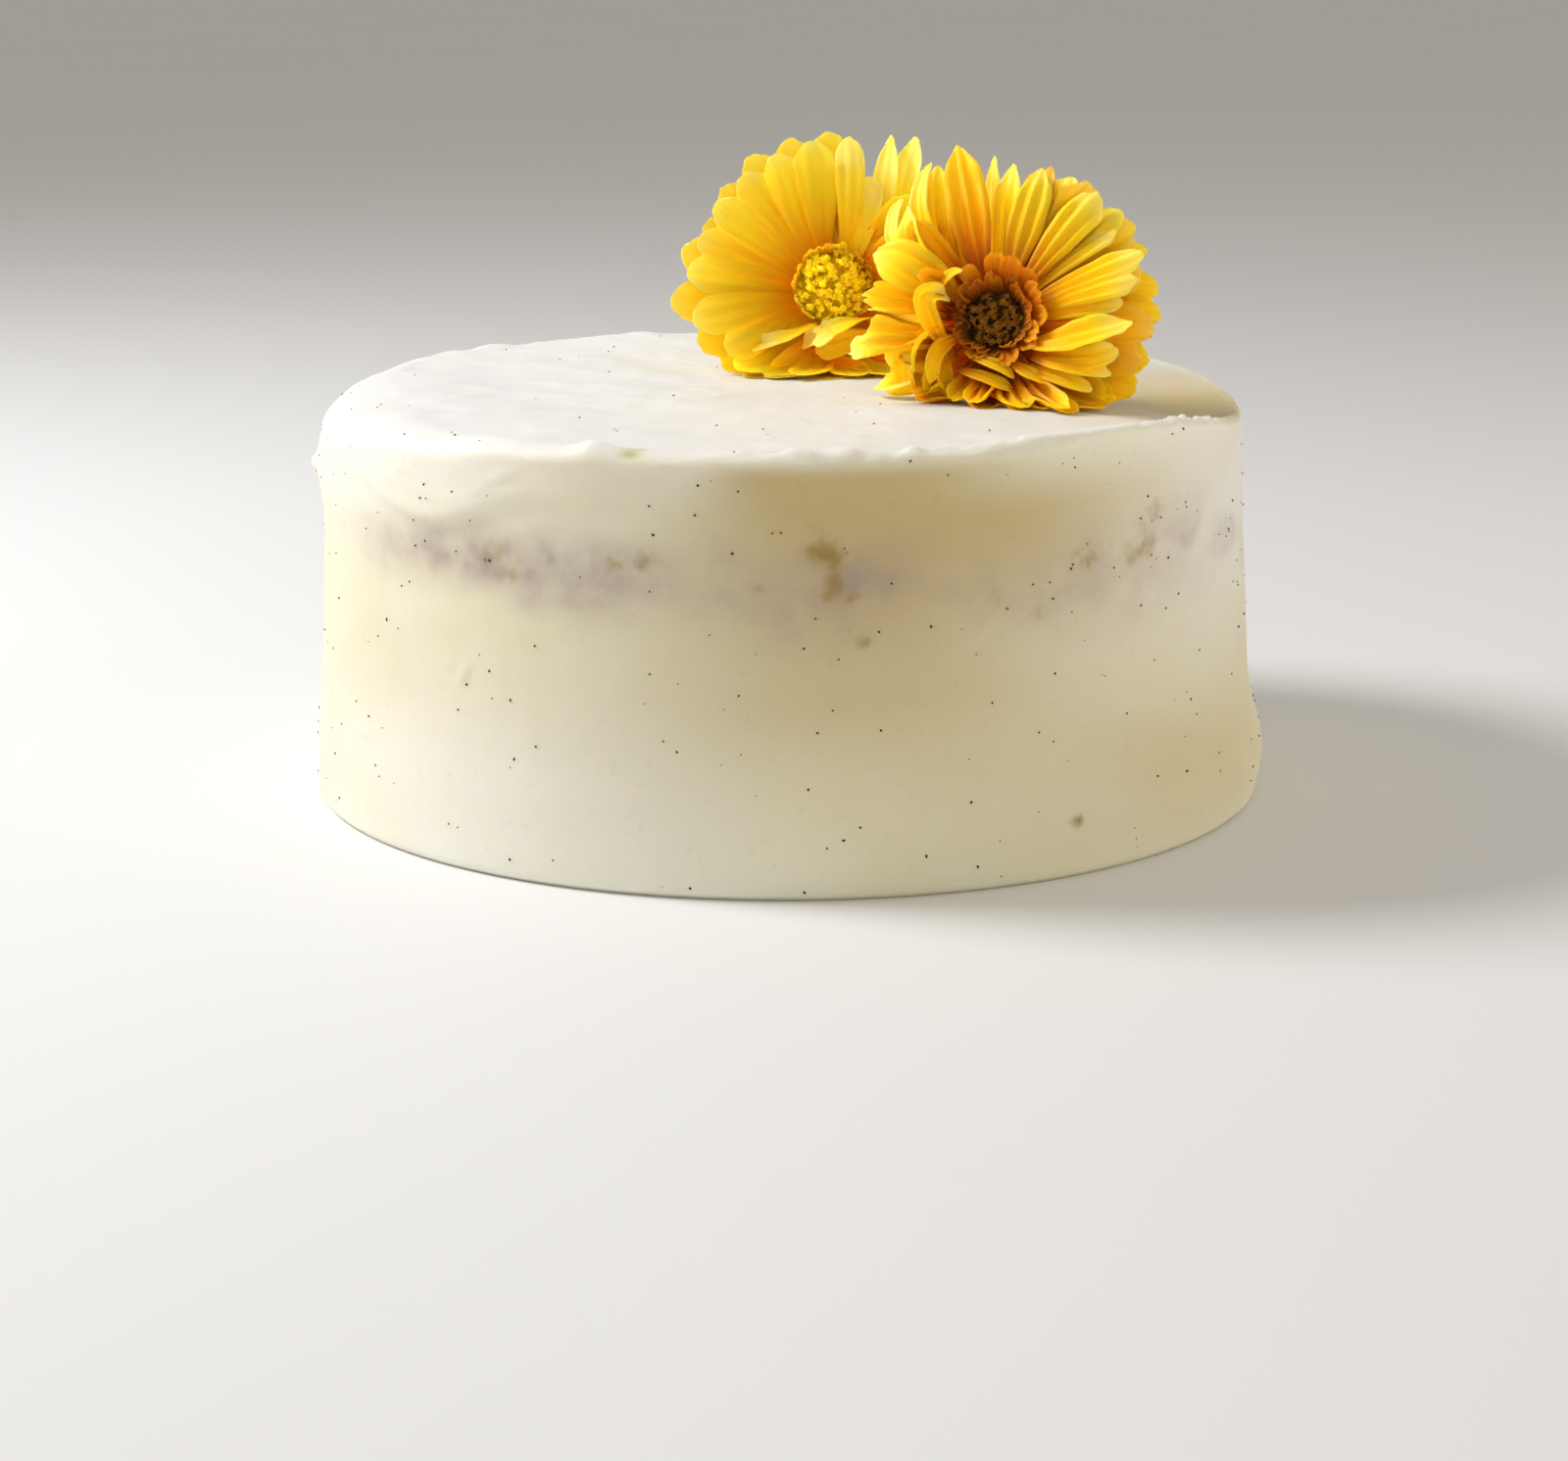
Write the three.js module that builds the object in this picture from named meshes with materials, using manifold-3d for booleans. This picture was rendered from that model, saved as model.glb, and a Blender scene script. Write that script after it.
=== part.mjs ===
// A frosted vanilla cake with two yellow daisy-like flower heads lying on its top.
// Lengths are millimetres, angles are degrees, +Z is up and -Y is the front.
// Angles around the cake are counted from +X towards +Y, so the front is at -90.

import * as THREE from 'three';
import { mergeVertices } from 'three/addons/utils/BufferGeometryUtils.js';
import Module from 'manifold-3d';

const wasm = await Module();
wasm.setup();

// Driving dimensions of the cake.
const CAKE_HEIGHT = 93.7;
const RIM_RADIUS = 106;
const FLARE_FRONT = 2;
const FLARE_SIDE = 5.2;
const TOP_LEVEL = 92.5;
const RIM_BEVEL = 2;
const ROUND_SHOULDER = 9;
const LIP_WIDTH = 2.6;
const BASE_BEVEL = 1.4;
const CAKE_COLUMNS = 72;

// Driving dimensions of the flowers, shared by both heads. Hubs widen from the disc to the calyx.
const HUB_STEP = 0.75;
const HUB_THICKNESS = 1.3;
const FIT_GAP = 0.35;
const PETAL_SHARES = [0, 0.28, 0.62, 0.9, 1];
const PETAL_HALF_THICKNESS = 0.45;
const PETAL_CUP = 0.9;
const PETAL_ROOT_DEPTH = 0.75;
const PRESS_HEIGHT = 9;
const LAYER_HEIGHT = 1.5;
const PETAL_CLEARANCE = 1;
const CROWDED_CURL = 12;
const CALYX_DEPTH = 9;
const STALK_END = 20;
const STALK_RADIUS = 2.4;
const ROUND_SEGMENTS = 16;

const COLOURS = {
  frosting: 0xf3eddc,
  petal: 0xf7c81e,
  innerPetal: 0xf2a51c,
  greenCentre: 0xb4a226,
  darkCentre: 0x3d2208,
  calyx: 0x7f9440,
};

// Each head is placed by the middle of its back hub and the way that it faces. Its whorls of petals
// run from the back one to the front one. Petals rise from the hub's plane by riseRoot at their
// roots and riseTip at their tips. They rise by riseCrowded where the other head crowds them, and
// are shorter there and on the side where they curl, which is called curbed.
const REAR_HEAD = {
  name: 'rear_flower',
  centre: [11, 38, 111.6],
  turn: 8,
  tilt: 17,
  crowded: { angle: -5, width: 48, shortening: 0.08 },
  curbed: { angle: 225, width: 30, shortening: 0.06 },
  discRadius: 8.2,
  discColour: COLOURS.greenCentre,
  whorls: [
    { name: 'outer_petals', count: 19, length: 29, width: 8.6, riseRoot: 16, riseTip: 2, riseCrowded: 54 },
    { name: 'middle_petals', count: 18, length: 26.5, width: 7.8, riseRoot: 34, riseTip: 12, riseCrowded: 65 },
    { name: 'inner_petals', count: 14, length: 9, width: 3.8, riseRoot: 62, riseTip: 40, riseCrowded: 75 },
  ],
};
const FRONT_HEAD = {
  name: 'front_flower',
  centre: [49, -11.5, 109.5],
  turn: -14,
  tilt: 20,
  crowded: { angle: 183, width: 52, shortening: 0.22 },
  curbed: { angle: -38, width: 30, shortening: 0.14 },
  discRadius: 7,
  discColour: COLOURS.darkCentre,
  whorls: [
    { name: 'outer_petals', count: 18, length: 30, width: 8.4, riseRoot: 10, riseTip: -4, riseCrowded: 54 },
    { name: 'middle_petals', count: 19, length: 28.5, width: 7.2, riseRoot: 30, riseTip: 8, riseCrowded: 65 },
    { name: 'inner_petals', count: 15, length: 14, width: 4.6, riseRoot: 58, riseTip: 32, riseCrowded: 75 },
  ],
};

const radians = THREE.MathUtils.degToRad;
const blend = THREE.MathUtils.lerp;

function bell(value, middle, width) {
  return Math.exp(-(((value - middle) / width) ** 2));
}

// A bell around the cake, where 180 and -180 are the same place.
function bellAround(angle, middle, width) {
  const turns = (angle - middle) / 360;
  return bell((turns - Math.round(turns)) * 360, 0, width);
}

// A fixed spread between -1 and 1, so that no two petals are alike.
function spread(index, channel) {
  const value = Math.sin(index * 12.9898 + channel * 78.233) * 43758.5453;
  return 2 * (value - Math.floor(value)) - 1;
}

// A closed solid through rings of points, each ring counter-clockwise about the way they advance.
function ringSolid(rings, firstPole, lastPole) {
  const size = rings[0].length;
  const points = [firstPole, ...rings.flat(), lastPole];
  const last = points.length - 1;
  const faces = [];
  for (let j = 0; j < size; j += 1) {
    const next = (j + 1) % size;
    faces.push(0, 1 + next, 1 + j);
    for (let i = 0; i < rings.length - 1; i += 1) {
      const low = 1 + i * size;
      const high = low + size;
      faces.push(low + j, low + next, high + next);
      faces.push(low + j, high + next, high + j);
    }
    const top = 1 + (rings.length - 1) * size;
    faces.push(last, top + j, top + next);
  }
  const geometry = new THREE.BufferGeometry().setFromPoints(points);
  geometry.setIndex(faces);
  return geometry;
}

function toManifold(geometry) {
  const bare = geometry.clone();
  bare.deleteAttribute('normal');
  bare.deleteAttribute('uv');
  const merged = mergeVertices(bare, 1e-4);
  const vertProperties = new Float32Array(merged.attributes.position.array);
  const triVerts = new Uint32Array(merged.index.array);
  return new wasm.Manifold(new wasm.Mesh({ numProp: 3, vertProperties, triVerts }));
}

function fromManifold(solid) {
  const mesh = solid.getMesh();
  const geometry = new THREE.BufferGeometry();
  geometry.setAttribute('position', new THREE.BufferAttribute(mesh.vertProperties, 3));
  geometry.setIndex(new THREE.BufferAttribute(mesh.triVerts, 1));
  return geometry;
}

function joined(geometries) {
  return fromManifold(geometries.map(toManifold).reduce((whole, piece) => whole.add(piece)));
}

function namedMesh(name, geometry, color, roughness) {
  const material = new THREE.MeshStandardMaterial({ color, roughness, metalness: 0 });
  const mesh = new THREE.Mesh(geometry, material);
  mesh.name = name;
  return mesh;
}

// The cake: one solid of frosting over the layers, as they can't be told apart while it is uncut.

// The rim stands up at the front right and sinks at the right.
function rimHeight(angle) {
  const raised = 2.2 * bellAround(angle, -47, 16);
  const sunken = 3.1 * bellAround(angle, -6, 18);
  return CAKE_HEIGHT + raised - sunken;
}

function shoulderRadius(angle) {
  return blend(RIM_BEVEL, ROUND_SHOULDER, bellAround(angle, -168, 42));
}

// Lower edge of the thick fold of frosting on the front left, a shallow bowl in outline.
function foldEdge(angle) {
  return 77.5 - 3.5 * Math.cos(radians((angle + 137) * 11));
}

function sideRadius(angle, height) {
  const sideways = Math.cos(radians(angle)) ** 2;
  const flare = blend(FLARE_FRONT, FLARE_SIDE, sideways) * (1 - height / CAKE_HEIGHT);
  const rightFoot = 3.4 * bellAround(angle, 0, 50) * bell(height, 11, 11);
  const leftFoot = 0.8 * bellAround(angle, 180, 50) * bell(height, 14, 12);
  const leftBulge = 1.8 * bellAround(angle, 180, 32) * bell(height, 78, 8);
  const edge = foldEdge(angle);
  const fold = 1.7 * bellAround(angle, -137, 20) * THREE.MathUtils.smoothstep(height, edge - 2, edge + 2);
  const spreading = 0.35 * Math.sin(radians(3 * angle + 40)) * Math.sin(height / 19);
  return RIM_RADIUS + flare + rightFoot + leftFoot + leftBulge + fold + spreading;
}

// The lip of frosting that stands above the top, high at the front right.
function lipHeight(angle) {
  return 0.5 + 2.4 * bellAround(angle, -40, 30);
}

function topHeight(angle, radius) {
  const nearRim = THREE.MathUtils.smoothstep(radius, 78, 103);
  const swirl = 0.3 * Math.sin(radians(2 * angle) + radius / 17);
  return blend(TOP_LEVEL, rimHeight(angle) - lipHeight(angle), nearRim) + swirl;
}

// One outline of the cake at an angle, from the edge of its flat base to near the middle of its top.
function cakeOutline(angle) {
  const shoulder = shoulderRadius(angle);
  const rim = rimHeight(angle);
  const outline = [[sideRadius(angle, 0) - BASE_BEVEL, 0]];
  const sideTop = rim - shoulder;
  for (const share of [0.016, 0.07, 0.13, 0.21, 0.33, 0.5, 0.68, 0.8, 0.9]) {
    outline.push([sideRadius(angle, share * sideTop), share * sideTop]);
  }
  const cornerRadius = sideRadius(angle, sideTop) - shoulder;
  for (const turn of [0, 30, 60, 90]) {
    const out = Math.cos(radians(turn)) * shoulder;
    const up = Math.sin(radians(turn)) * shoulder;
    outline.push([cornerRadius + out, sideTop + up]);
  }
  for (const inset of [LIP_WIDTH, 16, 42, 72]) {
    const radius = cornerRadius - inset;
    outline.push([radius, topHeight(angle, radius)]);
  }
  return outline;
}

function frostedCake() {
  const outlines = [];
  for (let column = 0; column < CAKE_COLUMNS; column += 1) {
    const angle = (column / CAKE_COLUMNS) * 360 - 180;
    const direction = new THREE.Vector2(Math.cos(radians(angle)), Math.sin(radians(angle)));
    const place = ([radius, height]) => new THREE.Vector3(direction.x * radius, direction.y * radius, height);
    outlines.push(cakeOutline(angle).map(place));
  }
  const rings = outlines[0].map((_, level) => outlines.map((outline) => outline[level]));
  const base = new THREE.Vector3(0, 0, 0);
  const top = new THREE.Vector3(0, 0, TOP_LEVEL);
  return namedMesh('frosted_cake', ringSolid(rings, base, top), COLOURS.frosting, 0.55);
}

// The flowers: whorls of petals on hubs, stacked from the calyx to the disc.

function headFrame(head) {
  const turn = radians(head.turn);
  const tilt = radians(head.tilt);
  const front = new THREE.Vector3(Math.sin(turn), -Math.cos(turn), 0).multiplyScalar(Math.cos(tilt));
  front.z = Math.sin(tilt);
  const right = new THREE.Vector3(Math.cos(turn), Math.sin(turn), 0);
  const up = new THREE.Vector3().crossVectors(front, right);
  return { centre: new THREE.Vector3(...head.centre), front, right, up };
}

function frameMatrix(frame) {
  const matrix = new THREE.Matrix4().makeBasis(frame.right, frame.up, frame.front);
  return matrix.setPosition(frame.centre);
}

// A turned solid about the head's own axis, from [radius, distance in front of the disc's back].
function turnedSolid(profile, segments) {
  const points = profile.map(([radius, ahead]) => new THREE.Vector2(radius, ahead));
  return new THREE.LatheGeometry(points, segments).rotateX(Math.PI / 2);
}

// Share of a petal's full width at a share of its length: a narrow root and a rounded tip.
function petalWidth(share) {
  const widest = 0.64;
  if (share < widest) {
    return 0.22 + 0.78 * Math.sin((Math.PI / 2) * (share / widest));
  }
  return Math.sqrt(1 - ((share - widest) / (1 - widest)) ** 2);
}

// Slows a direction's way down as it nears the cake's top, so a petal bends and lies flat there.
function pressed(direction, easing) {
  const bent = direction.clone();
  bent.z *= easing;
  const level = Math.hypot(direction.x, direction.y);
  const wanted = Math.sqrt(1 - bent.z ** 2);
  bent.x *= wanted / level;
  bent.y *= wanted / level;
  return bent;
}

function hubRadius(head, order) {
  return head.discRadius + HUB_STEP * (head.whorls.length - order);
}

function hubBack(order) {
  return order * (HUB_THICKNESS + FIT_GAP);
}

// A petal from its root inside the hub to its tip, as rings of four points with sharp edges.
function petal(head, frame, order, index) {
  const whorl = head.whorls[order];
  const floor = TOP_LEVEL + PETAL_CLEARANCE + order * LAYER_HEIGHT;
  const degrees = ((index + 0.5 * order) / whorl.count) * 360 + 1.5 * spread(index, 1);
  const angle = radians(degrees);
  const outward = frame.right.clone().multiplyScalar(Math.cos(angle));
  outward.addScaledVector(frame.up, Math.sin(angle));
  const along = frame.up.clone().multiplyScalar(Math.cos(angle));
  along.addScaledVector(frame.right, -Math.sin(angle));
  const crowding = bellAround(degrees, head.crowded.angle, head.crowded.width);
  const riseRoot = blend(whorl.riseRoot, whorl.riseCrowded, crowding);
  const riseTip = blend(whorl.riseTip + 2 * spread(index, 3), whorl.riseCrowded - CROWDED_CURL, crowding);
  const curbing = bellAround(degrees, head.curbed.angle, head.curbed.width);
  const kept = 1 - head.crowded.shortening * crowding - head.curbed.shortening * curbing;
  const length = whorl.length * kept * (1 + 0.05 * spread(index, 2)) + PETAL_ROOT_DEPTH;
  const root = frame.centre.clone();
  root.addScaledVector(outward, hubRadius(head, order) - PETAL_ROOT_DEPTH);
  root.addScaledVector(frame.front, hubBack(order) + HUB_THICKNESS / 2);
  const point = root.clone();
  const rings = [];
  for (let station = 0; station < PETAL_SHARES.length - 1; station += 1) {
    const share = PETAL_SHARES[station];
    const rise = radians(blend(riseRoot, riseTip, share));
    const heading = outward.clone().multiplyScalar(Math.cos(rise));
    heading.addScaledVector(frame.front, Math.sin(rise));
    const easing = THREE.MathUtils.clamp((point.z - floor) / PRESS_HEIGHT, 0, 1);
    const tangent = heading.z < 0 ? pressed(heading, easing) : heading;
    const side = along.clone();
    side.z *= easing;
    side.addScaledVector(tangent, -side.dot(tangent)).normalize();
    const normal = new THREE.Vector3().crossVectors(tangent, side);
    const halfWidth = (whorl.width / 2) * petalWidth(share);
    const cup = PETAL_CUP * petalWidth(share);
    const edge = (way) => point.clone().addScaledVector(side, way * halfWidth).addScaledVector(normal, cup);
    const face = (way) => point.clone().addScaledVector(normal, way * PETAL_HALF_THICKNESS);
    rings.push([edge(1), face(1), edge(-1), face(-1)]);
    point.addScaledVector(tangent, (PETAL_SHARES[station + 1] - share) * length);
  }
  return ringSolid(rings, root, point.clone());
}

function whorlMesh(head, frame, order) {
  const whorl = head.whorls[order];
  const radius = hubRadius(head, order);
  const back = hubBack(order);
  const front = back + HUB_THICKNESS;
  const hub = turnedSolid([[0, back], [radius, back], [radius, front], [0, front]], ROUND_SEGMENTS);
  hub.applyMatrix4(frameMatrix(frame));
  const petals = Array.from({ length: whorl.count }, (_, index) => petal(head, frame, order, index));
  const color = order === head.whorls.length - 1 ? COLOURS.innerPetal : COLOURS.petal;
  return namedMesh(`${head.name}_${whorl.name}`, joined([hub, ...petals]), color, 0.6);
}

function discMesh(head, frame) {
  const back = hubBack(head.whorls.length);
  const radius = head.discRadius - FIT_GAP;
  const profile = [
    [0, back],
    [radius, back],
    [radius, back + 1.2],
    [radius * 0.86, back + 2.6],
    [radius * 0.55, back + 3.1],
    [radius * 0.25, back + 2.4],
    [0, back + 2],
  ];
  const disc = namedMesh(`${head.name}_disc`, turnedSolid(profile, ROUND_SEGMENTS), head.discColour, 0.85);
  disc.applyMatrix4(frameMatrix(frame));
  return disc;
}

// The green cup behind the petals with the cut end of its stalk.
function calyxMesh(head, frame) {
  const radius = hubRadius(head, 0);
  const profile = [
    [0, -STALK_END],
    [STALK_RADIUS, -STALK_END],
    [STALK_RADIUS, -CALYX_DEPTH - 1],
    [STALK_RADIUS * 2, -CALYX_DEPTH + 1],
    [radius * 0.8, -CALYX_DEPTH * 0.55],
    [radius, -CALYX_DEPTH * 0.2],
    [radius, -FIT_GAP],
    [0, -FIT_GAP],
  ];
  const calyx = namedMesh(`${head.name}_calyx`, turnedSolid(profile, ROUND_SEGMENTS), COLOURS.calyx, 0.7);
  calyx.applyMatrix4(frameMatrix(frame));
  return calyx;
}

function flowerHead(head) {
  const frame = headFrame(head);
  const group = new THREE.Group();
  group.add(calyxMesh(head, frame));
  head.whorls.forEach((_, order) => group.add(whorlMesh(head, frame, order)));
  group.add(discMesh(head, frame));
  return group;
}

// The whole stands on its base, with the origin under the middle of its box.
function wholeCake() {
  const whole = new THREE.Group();
  whole.add(frostedCake());
  whole.add(flowerHead(REAR_HEAD));
  whole.add(flowerHead(FRONT_HEAD));
  const box = new THREE.Box3().setFromObject(whole, true);
  const middle = box.getCenter(new THREE.Vector3());
  whole.position.set(-middle.x, -middle.y, -box.min.z);
  return whole;
}

export default wholeCake();
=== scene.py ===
"""A round vanilla cake in cream frosting, with two yellow gerbera heads lying on its top.

Shapes are worked out in millimetres and become metres when their mesh is made. Angles are degrees.
The angle round the cake starts at its right, so that its front is at -90.
"""

import math

import bpy
import numpy as np
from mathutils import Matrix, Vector, noise


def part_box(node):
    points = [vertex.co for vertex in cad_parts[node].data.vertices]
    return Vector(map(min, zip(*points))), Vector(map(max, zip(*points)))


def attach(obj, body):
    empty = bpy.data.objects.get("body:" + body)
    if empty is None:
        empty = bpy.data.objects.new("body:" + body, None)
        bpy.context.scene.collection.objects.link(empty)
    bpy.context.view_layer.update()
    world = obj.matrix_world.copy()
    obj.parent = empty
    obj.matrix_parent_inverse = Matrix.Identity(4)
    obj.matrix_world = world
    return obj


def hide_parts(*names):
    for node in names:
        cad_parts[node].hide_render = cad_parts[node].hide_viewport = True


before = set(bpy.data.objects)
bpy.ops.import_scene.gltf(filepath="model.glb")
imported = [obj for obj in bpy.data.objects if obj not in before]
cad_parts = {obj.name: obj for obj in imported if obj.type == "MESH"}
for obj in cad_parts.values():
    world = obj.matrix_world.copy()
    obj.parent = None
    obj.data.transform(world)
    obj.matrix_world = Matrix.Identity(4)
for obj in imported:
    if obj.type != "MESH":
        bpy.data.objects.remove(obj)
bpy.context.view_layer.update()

# Driving dimensions, in millimetres.

MM = 0.001
CAKE_AXIS = np.array([-1.35, 0.03, 0.0])
BOX_MARGIN = 0.3

CAKE_HEIGHT = 93.7
RIM_RADIUS = 106.0
FLARE_FRONT = 1.6
FLARE_SIDE = 4.9
TOP_LEVEL = 92.5
RIM_BEVEL = 1.5
ROUND_SHOULDER = 8.0
LIP_WIDTH = 2.2
BASE_BEVEL = 1.4

HUB_STEP = 0.75
HUB_LAYER = 1.65
DISC_MIDDLE = 1.45
PETAL_THICKNESS = 0.32
PETAL_ROOT_DEPTH = 0.75
SPINE_REACH = 1.12
PETAL_AHEAD = 0.6
EVERY_OTHER_AHEAD = 0.5
PRESS_HEIGHT = 7.0
PRESS_SOFTNESS = 2.2

CALYX_DEPTH = 9.0
STALK_END = 19.6
STALK_RADIUS = 2.3
BRACT_WIDTH = 3.0
BRACT_THICKNESS = 0.35

# How finely each mesh is made.

CAKE_COLUMNS = 540
SIDE_ROWS = 88
SHOULDER_ROWS = 10
LIP_ROWS = 6
TOP_ROWS = 58
PETAL_ROWS = 26
PETAL_COLUMNS = 15
SPINE_STEPS = 40
DOME_COLUMNS = 40
CUP_COLUMNS = 66

# The whorls' order, and where the numbering of the other petals and seeds starts.

MIDDLE_WHORL = 1
INNER_WHORL = 2
FIRST_PLACED = 40
FIRST_IN_COLLAR = 70
WHORL_SEEDS_APART = 11
BRACT_SEED = 60
COLLAR_SEED = 90

# Turns, in degrees but for the full one, and the cup's ribs, whose depth is a share of its radius.

GOLDEN_TURN = 137.508
FULL_TURN = 6.28
CUP_RIBS = 11
CUP_RIB_DEPTH = 0.02
CRISP_ANGLE = 55


# Small tools.


def blend(start, end, share):
    """From start to end as share goes from 0 to 1."""
    return start + (end - start) * share


def smooth(value, low, high):
    """From 0 to 1 as value goes from low to high, with soft ends."""
    share = np.clip((value - low) / (high - low), 0.0, 1.0)
    return share * share * (3 - 2 * share)


def bell(value, middle, width):
    """1 at the middle, and near 0 from twice the width on."""
    return np.exp(-(((value - middle) / width) ** 2))


def turn_from(middle, angle):
    """The turn from a middle to an angle, from -180 to 180."""
    return (angle - middle + 180.0) % 360.0 - 180.0


def bell_round(angle, middle, width):
    """A bell over angles, which is the same after a full turn."""
    return bell(turn_from(middle, angle), 0.0, width)


def swing(degrees):
    """The cosine and the sine of an angle."""
    return math.cos(math.radians(degrees)), math.sin(math.radians(degrees))


def spread(index, channel):
    """A number from -1 to 1 that is the same each time for an index and a channel."""
    wave = math.sin(index * 12.9898 + channel * 78.233) * 43758.5453
    return 2.0 * (wave - math.floor(wave)) - 1.0


def grain(points, size, seed):
    """Smooth noise of about -1 to 1 at points, whose bumps are size mm wide along each axis."""
    scaled = points / np.array(size) + 31.7 * seed
    return np.array([noise.noise(Vector(point)) for point in scaled.tolist()])


def unit(vectors):
    """Vectors of the same directions and of length 1."""
    return vectors / np.linalg.norm(vectors, axis=-1, keepdims=True)


def sum_node(operation, swapped=False):
    """Makes one of the sums that a wire does with another wire or a number."""

    def work_out(wire, other):
        terms = (other, wire) if swapped else (wire, other)
        return wire.tree.math(operation, *terms)

    return work_out


class Wire:
    """A node's output, with which sums are written as they are with numbers."""

    def __init__(self, tree, socket):
        self.tree = tree
        self.socket = socket

    __add__ = sum_node("ADD")
    __sub__ = sum_node("SUBTRACT")
    __rsub__ = sum_node("SUBTRACT", swapped=True)
    __mul__ = sum_node("MULTIPLY")
    __truediv__ = sum_node("DIVIDE")
    __pow__ = sum_node("POWER")

    def scaled(self, factor, added):
        """This output times a factor, plus what is added."""
        return self.tree.math("MULTIPLY_ADD", self, factor, added)


class Tree:
    """A node group or a material's nodes, built with short calls."""

    def __init__(self, group):
        self.group = group

    def add(self, kind, inputs=None, **settings):
        node = self.group.nodes.new(kind)
        for name, value in settings.items():
            setattr(node, name, value)
        for key, value in (inputs or {}).items():
            self.feed(node.inputs[key], value)
        return node

    def wire(self, kind, inputs=None, output=0, **settings):
        """One output of a new node."""
        return Wire(self, self.add(kind, inputs, **settings).outputs[output])

    def feed(self, socket, value):
        """Links a wire to a socket, or sets the socket's own value."""
        if isinstance(value, Wire):
            self.group.links.new(value.socket, socket)
        elif value is not None:
            socket.default_value = value

    def math(self, operation, *values):
        return self.wire("ShaderNodeMath", dict(enumerate(values)), operation=operation)

    def vector(self, x, y, z):
        return self.wire("ShaderNodeCombineXYZ", {"X": x, "Y": y, "Z": z})


class Growth(Tree):
    """A Geometry Nodes group with named sizes, whose result is taken as a plain mesh."""

    def __init__(self, name):
        super().__init__(bpy.data.node_groups.new(name, "GeometryNodeTree"))
        for way in ("INPUT", "OUTPUT"):
            self.group.interface.new_socket("Geometry", in_out=way, socket_type="NodeSocketGeometry")
        self.entry = self.add("NodeGroupInput")
        self.identifiers = {}

    def size(self, name, kind="Float"):
        """A new named input of the group."""
        socket = self.group.interface.new_socket(name, in_out="INPUT", socket_type="NodeSocket" + kind)
        self.identifiers[name] = socket.identifier
        return Wire(self, self.entry.outputs[name])

    def sizes(self, *names):
        return [self.size(name) for name in names]

    def start(self):
        """The geometry that the group is given."""
        return Wire(self, self.entry.outputs[0])

    def attribute(self, name, kind="FLOAT"):
        return self.wire("GeometryNodeInputNamedAttribute", {"Name": name}, data_type=kind)

    def store(self, geometry, name, value, domain="POINT", kind="FLOAT"):
        inputs = {"Geometry": geometry, "Name": name, "Value": value}
        return self.wire("GeometryNodeStoreNamedAttribute", inputs, domain=domain, data_type=kind)

    def random(self, low, high, seed, identity=None):
        inputs = {2: low, 3: high, "ID": identity, "Seed": seed}
        return self.wire("FunctionNodeRandomValue", inputs, 1, data_type="FLOAT")

    def set_out(self, points, shape, rotation=None, scale=None):
        """A shape at each of some points."""
        inputs = {"Points": points, "Instance": shape, "Rotation": rotation, "Scale": scale}
        return self.wire("GeometryNodeInstanceOnPoints", inputs)

    def finish(self, geometry):
        """Ends the group with real geometry in its material."""
        real = self.wire("GeometryNodeRealizeInstances", {"Geometry": geometry})
        inputs = {"Geometry": real, "Material": self.size("Material", "Material")}
        self.add("NodeGroupOutput", {"Geometry": self.wire("GeometryNodeSetMaterial", inputs)})

    def grow(self, sizes, start=None):
        """The mesh that the group makes from a start mesh, or from nothing."""
        holder = new_object("holder", start or bpy.data.meshes.new("nothing"))
        modifier = holder.modifiers.new("growth", "NODES")
        modifier.node_group = self.group
        for name, value in sizes.items():
            modifier[self.identifiers[name]] = value
        return plain_mesh(holder)


def new_object(name, data):
    """An object in the scene that shows a mesh, a light or a camera."""
    made = bpy.data.objects.new(name, data)
    bpy.context.collection.objects.link(made)
    return made


def plain_mesh(holder):
    """The mesh that an object's modifiers make. The object itself is removed."""
    graph = bpy.context.evaluated_depsgraph_get()
    mesh = bpy.data.meshes.new_from_object(holder.evaluated_get(graph))
    holder.modifiers.clear()
    bpy.data.objects.remove(holder)
    return mesh


def new_mesh(name, points, faces, material):
    """A smooth-shaded mesh from points in millimetres."""
    mesh = bpy.data.meshes.new(name)
    mesh.from_pydata((np.asarray(points) * MM).tolist(), [], faces)
    mesh.materials.append(material)
    mesh.shade_smooth()
    return mesh


def give_attributes(mesh, **attributes):
    """Names values at a mesh's points: one for each point, or one for all."""
    for name, values in attributes.items():
        attribute = mesh.attributes.new(name, "FLOAT", "POINT")
        attribute.data.foreach_set("value", np.full(len(mesh.vertices), values, dtype=np.float32))


def read_attribute(mesh, name, kind=np.float32):
    values = np.zeros(len(mesh.vertices), dtype=kind)
    mesh.attributes[name].data.foreach_get("value", values)
    return values


def mesh_points(mesh):
    points = np.zeros(len(mesh.vertices) * 3, dtype=np.float32)
    mesh.vertices.foreach_get("co", points)
    return points.reshape(-1, 3).astype(float)


def move_points(mesh, points):
    """Puts a mesh's points at places given in millimetres."""
    mesh.vertices.foreach_set("co", (points * MM).astype(np.float32).ravel())
    mesh.update()


def joined(meshes):
    """One mesh of several, with their attributes."""
    objects = [new_object("part", mesh) for mesh in meshes]
    with bpy.context.temp_override(active_object=objects[0], selected_editable_objects=objects):
        bpy.ops.object.join()
    mesh = objects[0].data
    bpy.data.objects.remove(objects[0])
    return mesh


def ring_faces(rows, columns):
    """Quads between rings of points, with a fan at the first ring's and the last ring's middle."""
    faces = []
    first = rows * columns
    for column in range(columns):
        beside = (column + 1) % columns
        faces.append((first, beside, column))
        for row in range(rows - 1):
            start = row * columns
            faces.append((start + column, start + beside, start + columns + beside, start + columns + column))
        start = (rows - 1) * columns
        faces.append((start + column, start + beside, first + 1))
    return faces


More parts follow.
